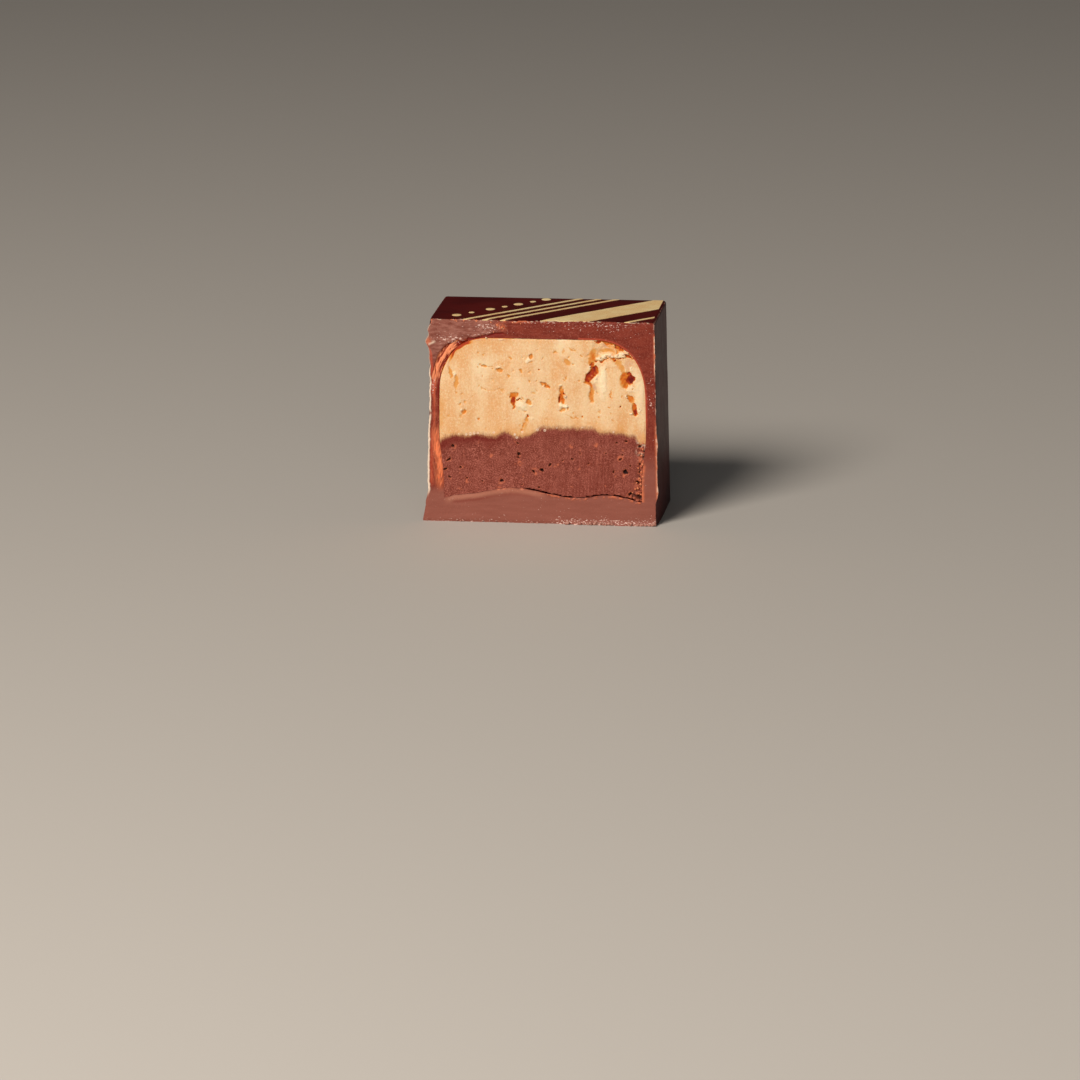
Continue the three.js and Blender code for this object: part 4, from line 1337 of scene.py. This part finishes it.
makeFilling("ganache", ganacheGrid(), ganacheMarks, ganacheFinish(), "dark_ganache")


# crumbs that the knife left; spots are x, z, size
lipCrumbs = {
    "finish": "pinkCrumb",
    "tones": (tone(150, 84, 68), tone(204, 150, 132)),
    "seed": 6,
    "squash": 0.6,  # how flat they lie
    # along the lip, then finer ones further left: how many, and the ranges of x, z, size and depth
    "onLip": 70,
    "lipX": (2.6, 12.6),
    "lipZ": (0.05, 0.3),
    "lipSize": (0.12, 0.42),
    "lipDepth": (-0.22, -0.02),
    "scattered": 16,
    "scatteredX": (-12.5, 2.0),
    "scatteredZ": (0.03, 0.2),
    "scatteredSize": (0.1, 0.22),
    "spotSeed": 5,
}
amberCrumbs = {
    "finish": "amberCrumb",
    "tones": (tone(204, 98, 58), tone(250, 164, 116)),
    "seed": 7,
    "squash": 0.6,
    "spots": [
        # the knot under the top edge, and along that edge
        (-4.85, 22.35, 0.3), (-4.4, 22.15, 0.34), (-5.6, 22.7, 0.18), (-7.2, 22.8, 0.22),
        (-8.6, 22.8, 0.18), (-3.2, 22.7, 0.2), (-9.4, 22.75, 0.16), (-2.3, 22.6, 0.16),
        # over the torn strip
        (-8.9, 20.75, 0.16), (-6.6, 21.35, 0.16), (-5.3, 21.6, 0.18),
        # in the crumbly edge of the ganache
        (11.0, 8.0, 0.3), (11.1, 7.0, 0.26), (11.0, 6.1, 0.28), (10.9, 5.2, 0.24), (10.6, 4.3, 0.26),
        (11.15, 8.7, 0.24), (10.7, 3.7, 0.26), (11.2, 9.4, 0.22), (10.9, 7.4, 0.2), (11.15, 5.6, 0.2),
        (10.75, 5.4, 0.24), (10.45, 4.9, 0.2), (10.3, 4.2, 0.24), (10.65, 6.6, 0.2), (10.9, 4.75, 0.26),
        (10.0, 3.8, 0.2), (11.1, 4.2, 0.22), (10.95, 3.6, 0.2), (10.8, 8.3, 0.18),
    ],
}
paleCrumbs = {
    "finish": "paleCrumb",
    "tones": (tone(238, 190, 140), tone(255, 232, 204)),
    "seed": 8,
    "squash": 0.5,
    "spots": [
        (2.3, 13.45, 0.26), (2.75, 13.5, 0.22), (2.62, 14.5, 0.26), (-6.15, 20.95, 0.2),
        (6.05, 16.6, 0.26), (9.95, 12.75, 0.18), (10.8, 13.3, 0.2), (8.4, 19.3, 0.34),
        (9.0, 19.38, 0.32), (7.5, 19.2, 0.24), (6.5, 19.0, 0.26), (9.4, 14.55, 0.16),
        (7.05, 19.1, 0.22), (9.55, 19.6, 0.2), (5.35, 17.95, 0.2),
    ],
}


def lipSpots():  # x, z, size and depth
    random = np.random.default_rng(lipCrumbs["spotSeed"])
    spots = []
    for _ in range(lipCrumbs["onLip"]):
        size = random.uniform(*lipCrumbs["lipSize"])
        x = random.uniform(*lipCrumbs["lipX"])
        z = random.uniform(*lipCrumbs["lipZ"])
        spots.append((x, z, size, random.uniform(*lipCrumbs["lipDepth"])))
    for _ in range(lipCrumbs["scattered"]):
        size = random.uniform(*lipCrumbs["scatteredSize"])
        x = random.uniform(*lipCrumbs["scatteredX"])
        spots.append((x, random.uniform(*lipCrumbs["scatteredZ"]), size, 0.0))
    return spots


def makeCrumbs(name, kind, spots):
    random = np.random.default_rng(kind["seed"])
    squash = kind["squash"]
    mould = Mould()
    ball = bmesh.new()
    bmesh.ops.create_icosphere(ball, subdivisions=2, radius=1.0)
    points = np.array([v.co for v in ball.verts])
    faces = np.array([[v.index for v in f.verts] for f in ball.faces])
    ball.free()
    for x, z, size, *depth in spots:
        turn = random.uniform(0, math.pi)
        stretch = random.uniform(0.65, 1.35)
        lumpy = 1 + 0.3 * noise(points[:, 0] * 1.7 + 9 * x, points[:, 1] * 1.7 + points[:, 2], kind["seed"])
        shape = points * lumpy[:, None] * [size * stretch / 2, size * squash / 2, size / 2]
        px = shape[:, 0] * math.cos(turn) - shape[:, 2] * math.sin(turn)
        pz = shape[:, 0] * math.sin(turn) + shape[:, 2] * math.cos(turn)
        at = depth[0] if depth else 0.06 - size * squash * 0.2
        index = mould.add(x + px, bonbon["cutY"] + at + shape[:, 1], np.maximum(z + pz, 0.01))
        mould.skin(index[faces].tolist())
    return mould.cast(name, [crumbFinish(kind["finish"], *kind["tones"])])


makeCrumbs("lipCrumbs", lipCrumbs, lipSpots())
makeCrumbs("amberCrumbs", amberCrumbs, amberCrumbs["spots"])
makeCrumbs("paleCrumbs", paleCrumbs, paleCrumbs["spots"])


# the pale print on the moulded top: dots, thin lines and one wide band, all on the slant
printing = {
    "thick": 0.03,
    "start": (-9.69, 2.03),  # first dot, from the middle and back from the cut
    "slant": 0.799,  # radians
    # dots: place along the slant, size; stripes: distance from the dots, width
    "dots": [
        (0, 1.04), (2.08, 0.65), (4.71, 1.04), (6.73, 0.65),
        (8.66, 1.04), (10.73, 0.65), (12.62, 1.04),
    ],
    "stripes": [(2.3, 0.46), (3.8, 0.46), (5.2, 0.46), (10.15, 3.9), (15.1, 0.46)],
    "front": 0.06,  # how far it stays back from the cut
    "clear": 0.9,  # how far it stays off the rounded edges, as a share of their radius
    "shortest": 0.15,
    "step": 0.12,
    "columns": 160,
    "dotSides": 48,
    # share of the radius, lift
    "dotRings": [(0.35, 1.0), (0.7, 1.0), (0.93, 1.0), (1.0, 0.3), (1.0, -1.0)],
}


def printPlace(along, off):  # along the slant and away from it, towards the front right
    cos, sin = math.cos(printing["slant"]), math.sin(printing["slant"])
    x = printing["start"][0] + along * cos + off * sin
    return x, bonbon["cutY"] + printing["start"][1] + along * sin - off * cos


def printRange(off):  # how much of a slanted line lies on the top
    clear = bonbon["edge"] * printing["clear"]
    half = outerHalf(bonbon["height"]) - clear
    front, rear = bonbon["cutY"] + printing["front"], backAt(bonbon["height"]) - clear
    cos, sin = math.cos(printing["slant"]), math.sin(printing["slant"])
    x0, y0 = printPlace(0, off)
    low = np.maximum((-half - x0) / cos, (front - y0) / sin)
    high = np.minimum((half - x0) / cos, (rear - y0) / sin)
    return low, high


def filmOver(mould, x, y):  # a closed film on the moulded top, from a grid of places
    z = topSkin(x, y)
    upper = mould.add(x, y, z + printing["thick"])
    lower = mould.add(x, y, z - printing["thick"])
    ringA, ringB = rimOf(upper), rimOf(lower)
    mould.skin(gridFaces(upper) + gridFaces(lower))
    mould.skin(bandFaces(np.r_[ringA, ringA[0]], np.r_[ringB, ringB[0]]))


def printStripe(mould, number, off, width):
    across = max(2, round(width / printing["step"]))
    offs = np.linspace(off - width / 2, off + width / 2, across + 1)[:, None]
    low, high = printRange(offs)
    border = abs(np.linspace(-1, 1, across + 1))[:, None] ** 3
    longEnough = (high - low)[:, 0] > printing["shortest"]
    offs, low, high, border = (values[longEnough] for values in (offs, low, high, border))
    along = low + (high - low) * np.linspace(0, 1, printing["columns"])[None, :]
    offs = offs + 0.05 * border * roughNoise(along * 1.3 + 7 * number, offs * 1.2, 95)
    low, high = printRange(offs)
    x, y = printPlace(np.clip(along, low, high), offs)
    filmOver(mould, x, y)


def printDot(mould, number, along, size):
    angle = np.linspace(0, 2 * math.pi, printing["dotSides"] + 1)[:-1]
    cx, cy = printPlace(along, 0)
    wobble = 1 + 0.06 * noise(np.cos(angle) * 1.5 + number, np.sin(angle) * 1.5, 96)
    rings = []
    for share, lift in printing["dotRings"]:
        radius = share * size / 2 * wobble
        x, y = cx + radius * np.cos(angle), cy + radius * np.sin(angle)
        rings.append(mould.add(x, y, topSkin(x, y) + lift * printing["thick"]))
    for ringA, ringB in zip(rings[:-1], rings[1:]):
        mould.skin(bandFaces(np.r_[ringA, ringA[0]], np.r_[ringB, ringB[0]]))
    mould.skin([rings[0].tolist(), rings[-1].tolist()])


def makePrint():
    mould = Mould()
    for number, (off, width) in enumerate(printing["stripes"]):
        printStripe(mould, number, off, width)
    for number, (along, size) in enumerate(printing["dots"]):
        printDot(mould, number, along, size)
    return mould.cast("giltPrint", [giltFinish()], sharp=35)


makePrint()


# floor, light and camera
studio = {
    "floorTone": tone(206, 200, 192),
    "floorRoughness": 0.75,
    "floorReach": 3.0,
    "lamps": {  # place, size, power, tint
        "keyLight": ((-0.24, -0.48, 0.44), 0.30, 5.05, (1.0, 0.93, 0.85)),
        "fillLight": ((0.10, -0.60, 0.20), 0.5, 0.72, (1.0, 0.97, 0.94)),
    },
    "aim": (0, 0, 0.011),  # what the lamps face
    "world": 0.04,
    "worldTint": (0.95, 0.97, 1.0, 1),
}
view = {
    "place": (77.38, -591.21, 152.42),  # mm
    "turn": (75.347, 0.430, 7.455),  # degrees
    "lens": 183.33,
    "sensor": 36,
    "nearest": 0.01,
}


def layFloor():
    reach = studio["floorReach"]
    corners = [(-reach, -reach, 0), (reach, -reach, 0), (reach, reach, 0), (-reach, reach, 0)]
    mesh = bpy.data.meshes.new("floor")
    mesh.from_pydata(corners, [], [(0, 1, 2, 3)])
    finish = bpy.data.materials.new("paleFloor")
    finish.use_nodes = True
    shader = finish.node_tree.nodes["Principled BSDF"]
    shader.inputs["Base Color"].default_value = studio["floorTone"]
    shader.inputs["Roughness"].default_value = studio["floorRoughness"]
    mesh.materials.append(finish)
    floorPiece = bpy.data.objects.new("floor", mesh)
    bpy.context.scene.collection.objects.link(floorPiece)


def softLight(name, place, size, power, tint):
    lamp = bpy.data.lights.new(name, "AREA")
    lamp.shape = "DISK"
    lamp.size = size
    lamp.energy = power
    lamp.color = tint
    holder = bpy.data.objects.new(name, lamp)
    holder.location = place
    aim = Vector(studio["aim"]) - holder.location
    holder.rotation_euler = aim.to_track_quat("-Z", "Y").to_euler()
    bpy.context.scene.collection.objects.link(holder)


def lightWorld():
    world = bpy.data.worlds.new("studio")
    world.use_nodes = True
    world.node_tree.nodes["Background"].inputs["Color"].default_value = studio["worldTint"]
    world.node_tree.nodes["Background"].inputs["Strength"].default_value = studio["world"]
    bpy.context.scene.world = world
    bpy.context.scene.view_settings.view_transform = "Standard"


def placeCamera():
    lens = bpy.data.cameras.new("camera")
    lens.sensor_width = view["sensor"]
    lens.lens = view["lens"]
    lens.clip_start = view["nearest"]
    camera = bpy.data.objects.new("camera", lens)
    camera.location = [v * mm for v in view["place"]]
    camera.rotation_euler = [math.radians(v) for v in view["turn"]]
    bpy.context.scene.collection.objects.link(camera)
    bpy.context.scene.camera = camera


layFloor()
for name, settings in studio["lamps"].items():
    softLight(name, *settings)
lightWorld()
placeCamera()
print("studio ready")
